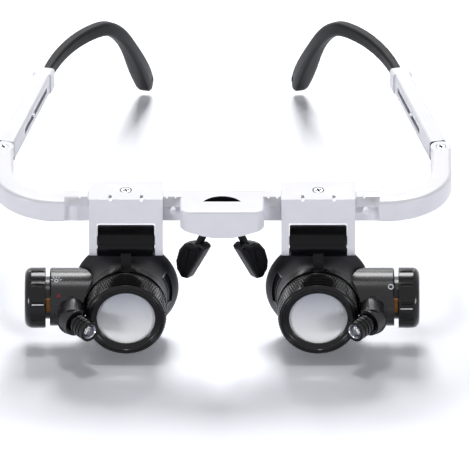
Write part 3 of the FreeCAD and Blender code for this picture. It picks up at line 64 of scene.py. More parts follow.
MM = 0.001
TABLE_HALF = 6.0
TABLE_TINT = "F3F3F8"
TABLE_SEEN = (1.34, 1.36, 1.43, 1)
LAMPS = (
    ("back_softbox", (0.02, 0.52, 0.74), (0, -0.02, 0.02), 0.36, 0.28, 6.0, "FFFFFF"),
    ("top_softbox", (-0.05, -0.12, 0.92), (0, -0.05, 0.02), 0.17, 0.09, 1.0, "FFFFFF"),
    ("rim_softbox", (-0.10, 1.20, 0.50), (0, 0, 0.03), 1.00, 0.20, 3.2, "FFFFFF"),
    ("left_softbox", (-0.92, -0.74, 0.16), (0, -0.05, 0.03), 0.30, 0.22, 5.0, "FAFBFF"),
    ("right_softbox", (0.92, -0.74, 0.16), (0, -0.05, 0.03), 0.30, 0.22, 4.6, "FAFBFF"),
)
SKY_STRENGTH = 0.12


def linear(code):
    """The linear colour of an sRGB hex value."""
    parts = [int(code[i:i + 2], 16) / 255 for i in (0, 2, 4)]
    return tuple(c / 12.92 if c <= 0.04045 else ((c + 0.055) / 1.055) ** 2.4 for c in parts) + (1,)


def new_material(name):
    """An empty node material and its output node."""
    material = bpy.data.materials.new(name)
    material.use_nodes = True
    material.node_tree.nodes.clear()
    out = material.node_tree.nodes.new("ShaderNodeOutputMaterial")
    return material, out


def add_node(material, kind, settings=None, links=None, **inputs):
    """One node with its settings, its input values and its incoming links."""
    node = material.node_tree.nodes.new(kind)
    for key, value in (settings or {}).items():
        setattr(node, key, value)
    for key, value in inputs.items():
        socket = int(key[1:]) if key[1:].isdigit() else key.replace("_", " ")
        node.inputs[socket].default_value = value
    for key, source in (links or {}).items():
        material.node_tree.links.new(source, node.inputs[key])
    return node


def seen_directly(owner):
    """1 where the camera, a shiny surface or clear glass looks, and 0 for scattered light."""
    path = add_node(owner, "ShaderNodeLightPath")
    seen = path.outputs["Is Camera Ray"]
    for ray in ("Is Glossy Ray", "Is Transmission Ray"):
        seen = add_node(owner, "ShaderNodeMath", {"operation": "MAXIMUM"},
                        {0: seen, 1: path.outputs[ray]}).outputs[0]
    return seen


bpy.context.scene.view_settings.view_transform = "Standard"


def lay_table():
    """A flat white floor that keeps the soft shadow and reads a little whiter for the camera."""
    bm = bmesh.new()
    bmesh.ops.create_grid(bm, x_segments=1, y_segments=1, size=TABLE_HALF)
    mesh = bpy.data.meshes.new("table_top")
    bm.to_mesh(mesh)
    bm.free()
    table = bpy.data.objects.new("table_top", mesh)
    bpy.context.scene.collection.objects.link(table)
    material, out = new_material("matt white laminate")
    tint = add_node(material, "ShaderNodeMix", {"data_type": "RGBA"},
                    {"Factor": seen_directly(material)}, _6=linear(TABLE_TINT), _7=TABLE_SEEN)
    shader = add_node(material, "ShaderNodeBsdfDiffuse", None, {"Color": tint.outputs[2]})
    material.node_tree.links.new(shader.outputs["BSDF"], out.inputs["Surface"])
    mesh.materials.append(material)


lay_table()

for name, place, aim, width, height, power, colour in LAMPS:
    data = bpy.data.lights.new(name, "AREA")
    data.shape = "RECTANGLE"
    data.size = width
    data.size_y = height
    data.energy = power
    data.color = linear(colour)[:3]
    lamp = bpy.data.objects.new(name, data)
    lamp.location = place
    lamp.rotation_euler = (Vector(aim) - Vector(place)).to_track_quat("-Z", "Y").to_euler()
    bpy.context.scene.collection.objects.link(lamp)

world = bpy.data.worlds.new("studio")
bpy.context.scene.world = world
world.use_nodes = True
world.node_tree.nodes.clear()
level = add_node(world, "ShaderNodeMapRange", None, {"Value": seen_directly(world)},
                 To_Min=SKY_STRENGTH)
sky = add_node(world, "ShaderNodeBackground", None, {"Strength": level.outputs["Result"]},
               Color=linear("FFFFFF"))
add_node(world, "ShaderNodeOutputWorld", None, {"Surface": sky.outputs[0]})


# The camera: far away behind a long lens, 30 degrees above the table and square to the front.
# The middle of its view is a little above and beside the bridge, and its scale is true at the
# middle of the glasses' depth.

ELEVATION = radians(30)
SENSOR = 36
DISTANCE = 6.5
MIDDLE_DEPTH = 80 * MM
VIEW_WIDTH = 158.6 * MM
VIEW_UP = 43.2 * MM
VIEW_ASIDE = 4.3 * MM
FRONT_Y = -86.92


def set_camera():
    """Aim at the middle of the view, from far away."""
    data = bpy.data.cameras.new("camera")
    data.sensor_fit = "HORIZONTAL"
    data.sensor_width = SENSOR
    data.lens = SENSOR * DISTANCE / VIEW_WIDTH
    data.clip_end = DISTANCE * 4
    camera = bpy.data.objects.new("camera", data)
    bpy.context.scene.collection.objects.link(camera)
    bpy.context.scene.camera = camera
    back = Vector((0, -cos(ELEVATION), sin(ELEVATION)))
    right = Vector((1, 0, 0))
    up = back.cross(right)
    middle = up * VIEW_UP + right * VIEW_ASIDE + Vector((0, FRONT_Y * MM, 0))
    camera.matrix_world = (Matrix.Translation(middle + back * (DISTANCE - MIDDLE_DEPTH))
                           @ Matrix((right, up, back)).transposed().to_4x4())


set_camera()


# The frame front: bridge, both rails, the round corner arms and the hinge ears are one
# injection moulding in white ABS, polished, with softly rounded edges. The faces inside the
# crescent hollow in the bridge's top are painted black as painted shade.

SIDES = (("right", 1), ("left", -1))
EDGE_TURN = 32
CRESCENT_LOW = (-6.4, 12.9, 50.9)
CRESCENT_HIGH = (6.4, 16.7, 55.0)


def spot(x, y, z):
    """A point given in millimetres from the lenses' front plane."""
    return Vector((x, y + FRONT_Y, z)) * MM


def white_abs():
    """Moulded white ABS: glossy, slightly cool, with the faint waviness of a mould."""
    material, out = new_material("moulded white ABS")
    place = add_node(material, "ShaderNodeTexCoord")
    wave = add_node(material, "ShaderNodeTexNoise", None, {"Vector": place.outputs["Object"]},
                    Scale=1 / (7 * MM), Detail=2.0)
    grain = add_node(material, "ShaderNodeTexNoise", None, {"Vector": place.outputs["Object"]},
                     Scale=1 / (0.35 * MM), Detail=3.0)
    rough = add_node(material, "ShaderNodeMapRange", None, {"Value": grain.outputs["Fac"]},
                     To_Min=0.24, To_Max=0.36)
    tint = add_node(material, "ShaderNodeMix", {"data_type": "RGBA"},
                    {"Factor": wave.outputs["Fac"]}, _6=linear("E4E4EB"), _7=linear("ECECF2"))
    bump = add_node(material, "ShaderNodeBump", None, {"Height": wave.outputs["Fac"]},
                    Strength=0.12, Distance=0.15 * MM)
    shader = add_node(material, "ShaderNodeBsdfPrincipled", None,
                      {"Base Color": tint.outputs[2], "Roughness": rough.outputs["Result"],
                       "Normal": bump.outputs["Normal"]}, IOR=1.53)
    material.node_tree.links.new(shader.outputs["BSDF"], out.inputs["Surface"])
    return material


def fine_moulding(name, code, rough_low, rough_high, grain_mm, depth, gloss=0.5):
    """Moulded plastic or rubber, or ink on it: the eroded mould gives it a fine dull texture."""
    material, out = new_material(name)
    place = add_node(material, "ShaderNodeTexCoord")
    grain = add_node(material, "ShaderNodeTexNoise", None, {"Vector": place.outputs["Object"]},
                     Scale=1 / (grain_mm * MM), Detail=3.0)
    cloud = add_node(material, "ShaderNodeTexNoise", None, {"Vector": place.outputs["Object"]},
                     Scale=1 / (5 * MM), Detail=2.0)
    dusty = tuple(min(1.0, c * 1.5 + 0.001) for c in linear(code)[:3]) + (1,)
    tint = add_node(material, "ShaderNodeMix", {"data_type": "RGBA"},
                    {"Factor": cloud.outputs["Fac"]}, _6=linear(code), _7=dusty)
    rough = add_node(material, "ShaderNodeMapRange", None, {"Value": grain.outputs["Fac"]},
                     To_Min=rough_low, To_Max=rough_high)
    bump = add_node(material, "ShaderNodeBump", None, {"Height": grain.outputs["Fac"]},
                    Strength=depth, Distance=0.05 * MM)
    shader = add_node(material, "ShaderNodeBsdfPrincipled", None,
                      {"Base Color": tint.outputs[2], "Roughness": rough.outputs["Result"],
                       "Normal": bump.outputs["Normal"]}, IOR=1.5, Specular_IOR_Level=gloss)
    material.node_tree.links.new(shader.outputs["BSDF"], out.inputs["Surface"])
    return material


def shown(bm, name, materials, body, stands_for=(), edge=0, segments=2, turn=EDGE_TURN):
    """Make a finished mesh a piece that rides on a body, with softened edges where asked."""
    mesh = bpy.data.meshes.new(name)
    bm.to_mesh(mesh)
    bm.free()
    mesh.shade_smooth()
    mesh.set_sharp_from_angle(angle=radians(turn))
    for material in materials:
        mesh.materials.append(material)
    piece = bpy.data.objects.new(name, mesh)
    bpy.context.scene.collection.objects.link(piece)
    if edge:
        bevel = piece.modifiers.new("rounded edges", "BEVEL")
        bevel.width = edge * MM
        bevel.segments = segments
        bevel.limit_method = "ANGLE"
        bevel.angle_limit = radians(turn)
        bevel.harden_normals = True
    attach(piece, body)
    if stands_for:
        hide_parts(*stands_for)
    return piece


def merged(node):
    """A copy of a CAD node's mesh with its loose triangles joined and its flats made one."""
    bm = bmesh.new()
    bm.from_mesh(frame["nodes"][node].data)
    bmesh.ops.remove_doubles(bm, verts=bm.verts, dist=0.002 * MM)
    bmesh.ops.dissolve_limit(bm, angle_limit=radians(0.5), verts=bm.verts, edges=bm.edges)
    return bm


def softened(node, edge, *materials, segments=2):
    """A copy of a CAD node with rounded edges that stands for it."""
    return shown(merged(node), node + "_soft", materials, frame["nodes"][node]["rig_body"],
                 (node,), edge, segments)


def coat(node, material):
    """Give a CAD node its material."""
    mesh = frame["nodes"][node].data
    mesh.materials.clear()
    mesh.materials.append(material)


white = white_abs()
# Painted shade: a flat black laid on faces inside hollows, slits and recesses, where only shade
# falls.
shade_black = fine_moulding("painted shade black", "050506", 0.7, 0.85, 0.3, 0.1, 0.2)
front = softened("frame_front", 0.12, white, shade_black)
crescent_low = spot(*CRESCENT_LOW)
crescent_high = spot(*CRESCENT_HIGH)
# Painted shade: the faces inside the crescent's box get the black.
for face in front.data.polygons:
    if all(low < c < high for low, c, high in zip(crescent_low, face.center, crescent_high)):
        face.material_index = 1


# The stop pins: small round studs moulded in the frame's white ABS and pressed into the front
# of each rail, with a rounded nose.

softened("rail_stop_pins", 0.25, white, segments=3)


# The temple hinge screws: cross-recess pan heads in nickel-plated steel, sunk level with the
# ears of the frame.

HEAD_TOP_Z = 55.2
HINGE_X = 73.1
HINGE_Y = 50.0
HINGE_HEAD = 1.7
HEAD_TAPER = 0.86
HEAD_DEEP = 0.9
HEAD_EDGE = 0.12
SHANK_RADIUS = 0.9
SHANK_LONG = 3.0
# The black cross of painted shade on each screw head: length and width as parts of the head's
# radius, then thickness and turn.
CROSS_SHADE_LONG = 1.3
CROSS_SHADE_WIDE = 0.34
CROSS_SHADE_THICK = 0.3
CROSS_SHADE_TURN = radians(20)
OVERLAP = 0.02


def screw_steel():
    """Nickel-plated screw steel: pale, with a dull shine and fine tooling scratches."""
    material, out = new_material("nickel-plated screw steel")
    place = add_node(material, "ShaderNodeTexCoord")
    grain = add_node(material, "ShaderNodeTexNoise", None, {"Vector": place.outputs["Object"]},
                     Scale=1 / (0.2 * MM), Detail=4.0)
    rough = add_node(material, "ShaderNodeMapRange", None, {"Value": grain.outputs["Fac"]},
                     To_Min=0.25, To_Max=0.5)
    tint = add_node(material, "ShaderNodeMix", {"data_type": "RGBA"},
                    {"Factor": grain.outputs["Fac"]}, _6=linear("A6A6AC"), _7=linear("CFCFD4"))
    shader = add_node(material, "ShaderNodeBsdfPrincipled", None,
                      {"Base Color": tint.outputs[2], "Roughness": rough.outputs["Result"]},
                      Metallic=1.0)
    material.node_tree.links.new(shader.outputs["BSDF"], out.inputs["Surface"])
    return material


def place_at(bm, verts, x, y, z, turn=None):
    """Move vertices that were modelled in millimetres round the origin to their spot."""
    matrix = Matrix.Translation(spot(x, y, z)) @ Matrix.Scale(MM, 4)
    if turn is not None:
        matrix = matrix @ turn.to_4x4()
    bmesh.ops.transform(bm, matrix=matrix, verts=verts)


def brick(bm, x, y, z):
    """A box of these sides round the origin, in millimetres."""
    verts = bmesh.ops.create_cube(bm, size=1)["verts"]
    bmesh.ops.scale(bm, vec=(x, y, z), verts=verts)
    return verts


def cross_screw(place, head_radius, name, body, stands_for=()):
    """A pan head, its top at this spot, a short shank under it, and its cross recess as a black
    cross of painted shade.
    """
    bm = bmesh.new()
    head = bmesh.ops.create_cone(bm, cap_ends=True, segments=40, radius1=head_radius,
                                 radius2=head_radius * HEAD_TAPER, depth=HEAD_DEEP)["verts"]
    bmesh.ops.translate(bm, vec=(0, 0, -HEAD_DEEP / 2), verts=head)
    shank = bmesh.ops.create_cone(bm, cap_ends=True, segments=24, radius1=SHANK_RADIUS,
                                  radius2=SHANK_RADIUS, depth=SHANK_LONG)["verts"]
    bmesh.ops.translate(bm, vec=(0, 0, -HEAD_DEEP - SHANK_LONG / 2 + OVERLAP), verts=shank)
    place_at(bm, bm.verts[:], *place)
    shown(bm, name + "_head", (plated_steel,), body, stands_for, HEAD_EDGE)
    # Painted shade: the cross recess is not cut; a thin black cross lies just proud of the head.
    bm = bmesh.new()
    for long, wide in ((CROSS_SHADE_LONG, CROSS_SHADE_WIDE), (CROSS_SHADE_WIDE, CROSS_SHADE_LONG)):
        brick(bm, long * head_radius, wide * head_radius, CROSS_SHADE_THICK)
    x, y, z = place
    place_at(bm, bm.verts[:], x, y, z - CROSS_SHADE_THICK / 2 + OVERLAP,
             Matrix.Rotation(CROSS_SHADE_TURN, 3, "Z"))
    shown(bm, name + "_cross_shade", (shade_black,), body)


plated_steel = screw_steel()
for side, sign in SIDES:
    cross_screw((HINGE_X * sign, HINGE_Y, HEAD_TOP_Z), HINGE_HEAD, "temple_screw_" + side, "frame",
                ("temple_hinge_screws",) if sign > 0 else ())


# The carriages: a front plate, lid and fork in white ABS that slide on the rail, closed behind
# by a rear plate with two small screws. A cross-recess screw in the lid clamps each one.

CLAMP_PLACE = (32.0, 17.25, 57.2)
CLAMP_HEAD = 1.8

for side, sign in SIDES:
    softened("carriage_" + side, 0.22, white, segments=3)
    softened("carriage_rear_" + side, 0.3, white, segments=3)
    softened("carriage_screws_" + side, 0.1, plated_steel)
    coat("hinge_pin_" + side, plated_steel)
    x, y, z = CLAMP_PLACE
    cross_screw((x * sign, y, z), CLAMP_HEAD, "clamp_" + side, "carriage_" + side,
                ("clamp_screw_" + side,))


# The lens holders: flange ring, neck and hinge roller are one moulding in smooth black acetal.
# It turns on the steel pin between the fork arms and grips it enough to stay as tilted.

AXIS_X = 32.0
AXIS_Z = 17.5

holder_black = fine_moulding("moulded black acetal", "070709", 0.16, 0.30, 0.45, 0.25, 0.16)
for side, sign in SIDES:
    softened("lens_holder_" + side, 0.25, holder_black, segments=3)


# The eye cups: bell-shaped shades in nearly black rubber, moulded in one and snapped over the
# holder's sleeve, each with one curved slit on the nose side, its floor painted black as shade.

CUP_STEPS = 144
CUP_OUTER = ((12.95, 11.3), (13.5, 11.3), (13.5, 13.0), (13.62, 14.3), (13.86, 15.5),
             (14.2, 16.6), (14.55, 17.4), (14.95, 18.1), (15.55, 18.9), (16.25, 19.7),
             (17.05, 20.65), (17.42, 21.3), (17.5, 21.7), (17.42, 22.15), (17.12, 22.5),
             (16.75, 22.6), (16.4, 22.45))
CUP_INNER = ((16.2, 21.6), (15.6, 20.6), (14.9, 19.8), (14.1, 18.9), (12.95, 18.05))
SLIT_BAND = (13.9, 15.4)
SLIT_LOW = -16
SLIT_HIGH = 30
SLIT_INSET = 0.24
SLIT_RIM = 0.28
SLIT_WALL = 0.05
SLIT_DEEP = 0.9


def turned(bm, profile, steps, upright=False):
    """Spin a closed outline of (radius, along) points, in millimetres, round Y or, upright, Z."""
    verts = [bm.verts.new((r, 0, a) if upright else (r, a, 0)) for r, a in profile]
    edges = [bm.edges.new(pair) for pair in zip(verts, verts[1:] + verts[:1])]
    axis = (0, 0, 1) if upright else (0, 1, 0)
    bmesh.ops.spin(bm, geom=verts + edges, cent=(0, 0, 0), axis=axis, angle=2 * pi,
                   steps=steps, use_merge=True)
    bmesh.ops.remove_doubles(bm, verts=bm.verts, dist=0.001)
    bmesh.ops.recalc_face_normals(bm, faces=bm.faces)


def clock(face):
    """The turn of a face's middle round the Y axis, in degrees up from +X, and that middle."""
    middle = face.calc_center_median()
    return degrees(Vector((middle.x, middle.z)).angle_signed(Vector((1, 0)))), middle


cup_rubber = fine_moulding("dark grey moulded rubber", "1E1E22", 0.26, 0.38, 0.5, 0.2, 0.22)
for side, sign in SIDES:
    bm = bmesh.new()
    turned(bm, CUP_OUTER + CUP_INNER, CUP_STEPS)
    band = []
    for face in bm.faces:
        around, middle = clock(face)
        aside = (180 - abs(around)) if sign > 0 else abs(around)
        rise = aside if middle.z > 0 else -aside
        radius = Vector((middle.x, middle.z)).length
        outward = face.normal.y < 0
        if outward and SLIT_BAND[0] < radius < SLIT_BAND[1] and SLIT_LOW < rise < SLIT_HIGH:
            band.append(face)
    bmesh.ops.inset_region(bm, faces=band, thickness=SLIT_INSET, depth=SLIT_RIM)
    bmesh.ops.inset_region(bm, faces=band, thickness=SLIT_RIM, depth=0)
    bmesh.ops.inset_region(bm, faces=band, thickness=SLIT_WALL, depth=-SLIT_DEEP)
    # Painted shade: the slit's sunk floor gets the black.
    for face in band:
        face.material_index = 1
    place_at(bm, bm.verts[:], AXIS_X * sign, 0, AXIS_Z)
    shown(bm, "cup_bell_" + side, (cup_rubber, shade_black), "optic_" + side,
          ("eye_cup_" + side,), turn=40)


# The lens barrels: turned-looking mouldings in glossy black ABS, with a threaded shank and
# rows of small raised pads round the wide part as a grip. A bevelled ring holds the lens.

GRIP_RADIUS = 13.2
GRIP_ROWS = (1.6, 3.3, 5.0, 6.7)
GRIP_COUNT = 84
GRIP_PAD = (0.60, 1.05, 0.32)
PAD_FOOT = 0.707
PAD_TOP = 0.36
SUNK = 0.04
BEZEL_STEPS = 128
BEZEL_RINGS = ((11.95, -0.66), (11.95, 0.85), (9.7, 0.85), (9.7, 0.32), (9.85, 0.12),
               (10.15, 0.02), (10.95, -0.06), (11.2, -0.2), (11.36, -0.45), (11.5, -0.68),
               (11.72, -0.76))

barrel_black = fine_moulding("glossy black ABS", "060608", 0.12, 0.22, 0.5, 0.15, 0.28)
for side, sign in SIDES:
    softened("lens_barrel_" + side, 0.3, barrel_black, segments=3)
    bm = bmesh.new()
    turned(bm, BEZEL_RINGS, BEZEL_STEPS)
    place_at(bm, bm.verts[:], AXIS_X * sign, 0, AXIS_Z)
    shown(bm, "bezel_ring_" + side, (barrel_black,), "barrel_" + side,
          ("front_bezel_" + side,), 0.08, turn=36)
    bm = bmesh.new()
    for row, along in enumerate(GRIP_ROWS):
        pad = bmesh.ops.create_cone(bm, cap_ends=True, segments=4, radius1=PAD_FOOT,
                                    radius2=PAD_TOP, depth=1)["verts"]
        bmesh.ops.rotate(bm, cent=(0, 0, 0), matrix=Matrix.Rotation(pi / 4, 3, "Z"), verts=pad)
        bmesh.ops.scale(bm, vec=GRIP_PAD, verts=pad)
        bmesh.ops.translate(bm, vec=(0, along, GRIP_RADIUS + GRIP_PAD[2] / 2 - SUNK), verts=pad)
        start = pi / GRIP_COUNT * (row % 2)
        bmesh.ops.rotate(bm, cent=(0, 0, 0), matrix=Matrix.Rotation(start, 3, "Y"), verts=pad)
        geom = pad + list({e for v in pad for e in v.link_edges})
        geom += list({f for v in pad for f in v.link_faces})
        bmesh.ops.spin(bm, geom=geom, cent=(0, 0, 0), axis=(0, 1, 0),
                       angle=2 * pi * (1 - 1 / GRIP_COUNT), steps=GRIP_COUNT - 1,
                       use_duplicate=True)
    place_at(bm, bm.verts[:], AXIS_X * sign, 0, AXIS_Z)
    shown(bm, "barrel_grip_" + side, (barrel_black,), "barrel_" + side,
          turn=20)
    softened("rear_ring_" + side, 0.1, holder_black)


# The lenses: two ground and polished crown-glass lenses a side. The tube between them is natural
# white acetal. The glass carries a pale veil of painted light and shade for what shows through it.

# Painted shade at the top of the lens veil, painted light at its bottom.
VEIL_TOP_SHADE = "A6AAB5"
VEIL_LOW_LIGHT = "FFFFFF"


def glass_with_painted_veil():
    """Crown glass, clear and shiny, under a veil of painted light and shade: paler towards the
    bottom, greyer towards the top.
    """
    material, out = new_material("crown glass with painted light and shade")
    place = add_node(material, "ShaderNodeTexCoord")
    split = add_node(material, "ShaderNodeSeparateXYZ", None, {"Vector": place.outputs["Object"]})
    # Painted light and shade: the veil runs from white at the bottom to grey at the top, by height
    # in the piece.
    rise = add_node(material, "ShaderNodeMapRange", None, {"Value": split.outputs["Z"]},
                    From_Min=11.0 * MM, From_Max=26.5 * MM)
    streak = add_node(material, "ShaderNodeTexNoise", None, {"Vector": place.outputs["Object"]},
                      Scale=1 / (6 * MM), Detail=1.0)
    spread = add_node(material, "ShaderNodeMath", {"operation": "MULTIPLY_ADD"},
                      {0: streak.outputs["Fac"], 2: rise.outputs["Result"]}, _1=0.10)
    level = add_node(material, "ShaderNodeMath", {"operation": "SUBTRACT", "use_clamp": True},
                     {0: spread.outputs[0]}, _1=0.05)
    tint = add_node(material, "ShaderNodeMix", {"data_type": "RGBA"}, {"Factor": level.outputs[0]},
                    _6=linear(VEIL_LOW_LIGHT), _7=linear(VEIL_TOP_SHADE))
    glass = add_node(material, "ShaderNodeBsdfPrincipled", Base_Color=linear("F4F5FB"),
                     Roughness=0.02, IOR=1.52, Transmission_Weight=1.0)
    veil = add_node(material, "ShaderNodeBsdfPrincipled", None, {"Base Color": tint.outputs[2]},
                    Roughness=0.08, IOR=1.52)
    veiled_glass = add_node(material, "ShaderNodeMixShader", None,
                     {1: glass.outputs[0], 2: veil.outputs[0]}, Fac=0.94)
    path = add_node(material, "ShaderNodeLightPath")
    clear = add_node(material, "ShaderNodeBsdfTransparent")
    lit = add_node(material, "ShaderNodeMixShader", None,
                   {0: path.outputs["Is Shadow Ray"], 1: veiled_glass.outputs[0], 2: clear.outputs[0]})
    material.node_tree.links.new(lit.outputs[0], out.inputs["Surface"])
    return material


glass = glass_with_painted_veil()
spacer_white = fine_moulding("natural white acetal", "E6E8F0", 0.3, 0.45, 0.5, 0.1, 0.5)
for side, sign in SIDES:
    coat("front_lens_" + side, glass)
    coat("rear_lens_" + side, glass)
    coat("lens_spacer_" + side, spacer_white)


# The battery tubes: black ABS mouldings with a finer, duller texture than the barrels, a
# threaded neck for the cap and a ball socket for the lamp. Raised marks show the cap's switch
# places: a sun for on, a ring for off, and a red arrow. A mark's place is in millimetres along
# the tube and degrees up from its front.

TUBE_Y = 14.4
TUBE_RADIUS = 10.0
MARK_RISE = 0.16
MARK_STEPS = 28
SUN_PLACE = (55.2, 64)
SUN_RING = (0.55, 0.3)
SUN_RAY = (0.26, 0.8)
RAY_OUT = 1.45
RAY_TURN = 38
OFF_PLACE = (56.2, 51)
OFF_RING = (0.8, 0.34)
DASH_PLACE = (50.2, 32.5)
DASH = (2.0, 0.42)
ARROW_PLACE = (54.4, 33.2)
ARROW_FOOT = 1.1
ARROW_FACE = 0.95


def on_tube(bm, verts, sign, along, turn):
    """Lay a flat mark that was modelled facing +Z on the tube, turned up from its front."""
    lean = Matrix.Rotation(radians(90 - turn), 3, "X")
    y = TUBE_Y - cos(radians(turn)) * TUBE_RADIUS
    z = AXIS_Z + sin(radians(turn)) * TUBE_RADIUS
    place_at(bm, verts, along * sign, y, z, lean)


def mark_ring(bm, radius, width):
    """A flat raised ring round the origin, facing +Z."""
    near, far = radius - width / 2, radius + width / 2
    low, high = -SUNK, MARK_RISE - SUNK
    turned(bm, ((near, low), (far, low), (far, high), (near, high)), MARK_STEPS, upright=True)


tube_black = fine_moulding("textured black ABS", "101013", 0.22, 0.34, 0.35, 0.35, 0.4)
mark_grey = fine_moulding("pad-printed light grey ink", "B9BBC2", 0.4, 0.5, 0.3, 0.1, 0.4)
mark_red = fine_moulding("pad-printed red ink", "5E161C", 0.4, 0.5, 0.3, 0.1, 0.4)
for side, sign in SIDES:
    body = "optic_" + side
    softened("battery_housing_" + side, 0.25, tube_black, segments=3)
    for stem in ("battery_cells", "contact_leaf"):
        coat(stem + "_" + side, plated_steel)
    bm = bmesh.new()
    if sign < 0:
        mark_ring(bm, *SUN_RING)
        for ray in range(-2, 3):
            verts = brick(bm, *SUN_RAY, MARK_RISE)
            bmesh.ops.translate(bm, vec=(0, RAY_OUT, MARK_RISE / 2 - SUNK), verts=verts)
            bmesh.ops.rotate(bm, cent=(0, 0, 0), verts=verts,
                             matrix=Matrix.Rotation(radians(RAY_TURN * ray), 3, "Z"))
        on_tube(bm, bm.verts[:], sign, *SUN_PLACE)
    else:
        mark_ring(bm, *OFF_RING)
        on_tube(bm, bm.verts[:], sign, *OFF_PLACE)
    shown(bm, "switch_mark_" + side, (mark_grey,), body)
    bm = bmesh.new()
    brick(bm, *DASH, MARK_RISE)
    on_tube(bm, bm.verts[:], sign, *DASH_PLACE)
    shown(bm, "switch_dash_" + side, (barrel_black,), body, edge=0.05)
bm = bmesh.new()
bmesh.ops.create_cone(bm, cap_ends=True, segments=3, radius1=ARROW_FOOT, radius2=ARROW_FACE,
                      depth=MARK_RISE)
on_tube(bm, bm.verts[:], -1, *ARROW_PLACE)
shown(bm, "switch_arrow_left", (mark_red,), "optic_left")


# The battery caps: glossy black ABS with ten grip flutes. Each screws on the tube's neck and
# turns as the switch, with a white index line. A brass tab and disc carry the current.

LINE_START = 59.4
LINE_END = 63.4
LINE_WIDE = 0.36
LINE_THICK = 0.12
LINE_TURN = {"right": 8, "left": 16}
CAP_RADIUS = 10.1


def brass_sheet():
    """Rolled brass strip, browned by handling."""
    material, out = new_material("rolled brass strip")
    place = add_node(material, "ShaderNodeTexCoord")
    grain = add_node(material, "ShaderNodeTexNoise", None, {"Vector": place.outputs["Object"]},
                     Scale=1 / (0.6 * MM), Detail=3.0)
    tint = add_node(material, "ShaderNodeMix", {"data_type": "RGBA"},
                    {"Factor": grain.outputs["Fac"]}, _6=linear("3A2010"), _7=linear("8A5A2A"))
    rough = add_node(material, "ShaderNodeMapRange", None, {"Value": grain.outputs["Fac"]},
                     To_Min=0.25, To_Max=0.45)
    shader = add_node(material, "ShaderNodeBsdfPrincipled", None,
                      {"Base Color": tint.outputs[2], "Roughness": rough.outputs["Result"]},
                      Metallic=1.0)
    material.node_tree.links.new(shader.outputs["BSDF"], out.inputs["Surface"])
    return material


brass = brass_sheet()
index_white = fine_moulding("white index ink", "E9E9EC", 0.4, 0.5, 0.3, 0.1, 0.4)
for side, sign in SIDES:
    softened("battery_cap_" + side, 0.2, barrel_black, segments=3)
    coat("contact_tab_" + side, brass)
    coat("cap_contact_" + side, brass)
    bm = bmesh.new()
    brick(bm, LINE_END - LINE_START, LINE_WIDE, LINE_THICK)
    turn = radians(LINE_TURN[side])
    place_at(bm, bm.verts[:], (LINE_START + LINE_END) / 2 * sign,
             TUBE_Y - cos(turn) * CAP_RADIUS, AXIS_Z + sin(turn) * CAP_RADIUS,
             Matrix.Rotation(pi / 2 - turn, 3, "X"))
    shown(bm, "cap_index_" + side, (index_white,), "cap_" + side,
          edge=0.04)


# The lamps: ribbed black mouldings that tilt on a ball. Each holds a clear light-emitting
# diode in a bright reflector cup, its yellowish chip showing inside.

BALL = (49.8, -0.4)
LAMP_AIM = radians(36)
CUP_FLOOR = 8.15
CUP_MOUTH = 9.8
CUP_WALL = 0.1
CHIP = (0.8, 0.3, 0.8)
CHIP_AT = -7.4
DOME_STEPS = 40
REFLECTOR_STEPS = 48
DOME = ((0.0, -9.85), (0.4, -9.8), (0.8, -9.62), (1.15, -9.3), (1.4, -8.85), (1.5, -8.4),
        (1.5, -7.0), (0.0, -7.0))
REFLECTOR = ((1.6, -CUP_FLOOR), (2.42, -CUP_MOUTH), (2.48, -CUP_MOUTH),
             (2.48, CUP_WALL - CUP_FLOOR), (1.6, CUP_WALL - CUP_FLOOR))


def along_lamp(bm, sign):
    """Set a shape that was modelled round the Y axis, its front at -Y, on the lamp's ball."""
    place_at(bm, bm.verts[:], BALL[0] * sign, BALL[1], AXIS_Z,
             Matrix.Rotation(-LAMP_AIM * sign, 3, "Z"))


def clear_epoxy():
    """Cast clear epoxy: glassy, so that the chip and the cup's brightness show through."""
    material, out = new_material("cast clear epoxy")
    shader = add_node(material, "ShaderNodeBsdfPrincipled", Base_Color=linear("E9ECF4"),
                      Roughness=0.03, IOR=1.5, Transmission_Weight=0.85)
    path = add_node(material, "ShaderNodeLightPath")
    clear = add_node(material, "ShaderNodeBsdfTransparent")
    lit = add_node(material, "ShaderNodeMixShader", None,
                   {0: path.outputs["Is Shadow Ray"], 1: shader.outputs[0], 2: clear.outputs[0]})
    material.node_tree.links.new(lit.outputs[0], out.inputs["Surface"])
    return material


def bright_nickel():
    """Vacuum-metallised reflector: bright and a little cloudy."""
    material, out = new_material("metallised reflector")
    place = add_node(material, "ShaderNodeTexCoord")
    cloud = add_node(material, "ShaderNodeTexNoise", None, {"Vector": place.outputs["Object"]},
                     Scale=1 / (0.5 * MM), Detail=2.0)
    rough = add_node(material, "ShaderNodeMapRange", None, {"Value": cloud.outputs["Fac"]},
                     To_Min=0.1, To_Max=0.35)
    shader = add_node(material, "ShaderNodeBsdfPrincipled", None,
                      {"Roughness": rough.outputs["Result"]},
                      Base_Color=linear("C9CBD2"), Metallic=1.0)
    material.node_tree.links.new(shader.outputs["BSDF"], out.inputs["Surface"])
    return material


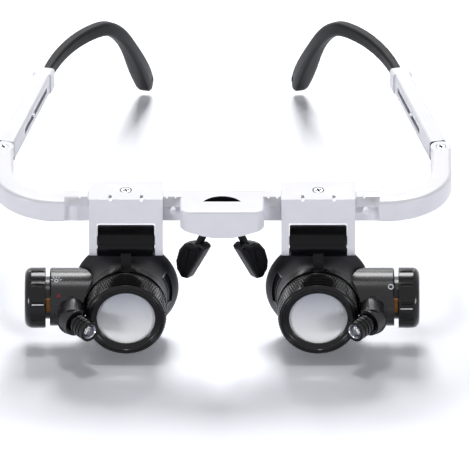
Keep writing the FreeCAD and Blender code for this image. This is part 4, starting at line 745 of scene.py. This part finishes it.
epoxy = clear_epoxy()
reflector = bright_nickel()
chip_yellow = fine_moulding("phosphor on the chip", "D8C870", 0.5, 0.6, 0.3, 0.1, 0.4)
for side, sign in SIDES:
    body = "lamp_" + side
    softened("lamp_head_" + side, 0.16, barrel_black, segments=3)
    bm = bmesh.new()
    turned(bm, DOME, DOME_STEPS)
    along_lamp(bm, sign)
    shown(bm, "led_dome_" + side, (epoxy,), body, ("led_" + side,))
    bm = bmesh.new()
    turned(bm, REFLECTOR, REFLECTOR_STEPS)
    along_lamp(bm, sign)
    shown(bm, "led_reflector_" + side, (reflector,), body)
    bm = bmesh.new()
    chip = brick(bm, *CHIP)
    bmesh.ops.translate(bm, vec=(0, CHIP_AT, 0), verts=chip)
    along_lamp(bm, sign)
    shown(bm, "led_chip_" + side, (chip_yellow,), body, edge=0.05)


# The temples: hollow white ABS bars with a window, and a black nylon leg that slides in each.
# A small steel pin guides the leg. The channel faces in the window are painted black as shade.

TEMPLE_TURN = radians(14.1)
CHANNEL_HALF = 1.2
CHANNEL_RISE = 1.9
TEMPLE_Z = 51.3

leg_black = fine_moulding("black nylon", "09090B", 0.35, 0.5, 0.4, 0.25, 0.2)
for side, sign in SIDES:
    bar = softened("temple_" + side, 0.2, white, shade_black, segments=3)
    hinge = spot(HINGE_X * sign, HINGE_Y, TEMPLE_Z)
    across = Vector((cos(TEMPLE_TURN), sin(TEMPLE_TURN) * sign, 0))
    # Painted shade: the faces of the channel inside each bar's window get the black.
    for face in bar.data.polygons:
        away = face.center - hinge
        if abs(away.dot(across)) < CHANNEL_HALF * MM and abs(away.z) < CHANNEL_RISE * MM:
            face.material_index = 1
    softened("temple_leg_" + side, 0.15, leg_black)
    coat("leg_guide_pin_" + side, plated_steel)


# The ear sleeves: thick near-black rubber moulded over the legs, curved down behind the ear to
# a flat paddle. A small hole through the paddle takes a neck cord.

sleeve_rubber = fine_moulding("near-black moulded rubber", "0B0B0E", 0.40, 0.52, 0.3, 0.4, 0.12)
for side, sign in SIDES:
    softened("ear_sleeve_" + side, 0.35, sleeve_rubber, segments=3)


# The nose pads: soft black silicone leaves with a raised rim round each dished broad face,
# pushed on stems that are sunk in the frame.

PAD_RIM = 0.9
PAD_SLOPE = 0.35
PAD_DISH = 0.3

pad_silicone = fine_moulding("moulded black silicone", "0E0E11", 0.34, 0.48, 0.3, 0.35, 0.2)
for side, sign in SIDES:
    bm = merged("nose_pad_" + side)
    broad = sorted(bm.faces, key=lambda face: face.calc_area())[-2:]
    for face in broad:
        bmesh.ops.inset_region(bm, faces=[face], thickness=PAD_RIM * MM, depth=0)
        bmesh.ops.inset_region(bm, faces=[face], thickness=PAD_SLOPE * MM, depth=-PAD_DISH * MM)
    shown(bm, "pad_leaf_" + side, (pad_silicone,), "frame",
          ("nose_pad_" + side,), 0.4, 3)
    softened("nose_pad_stem_" + side, 0.1, leg_black)
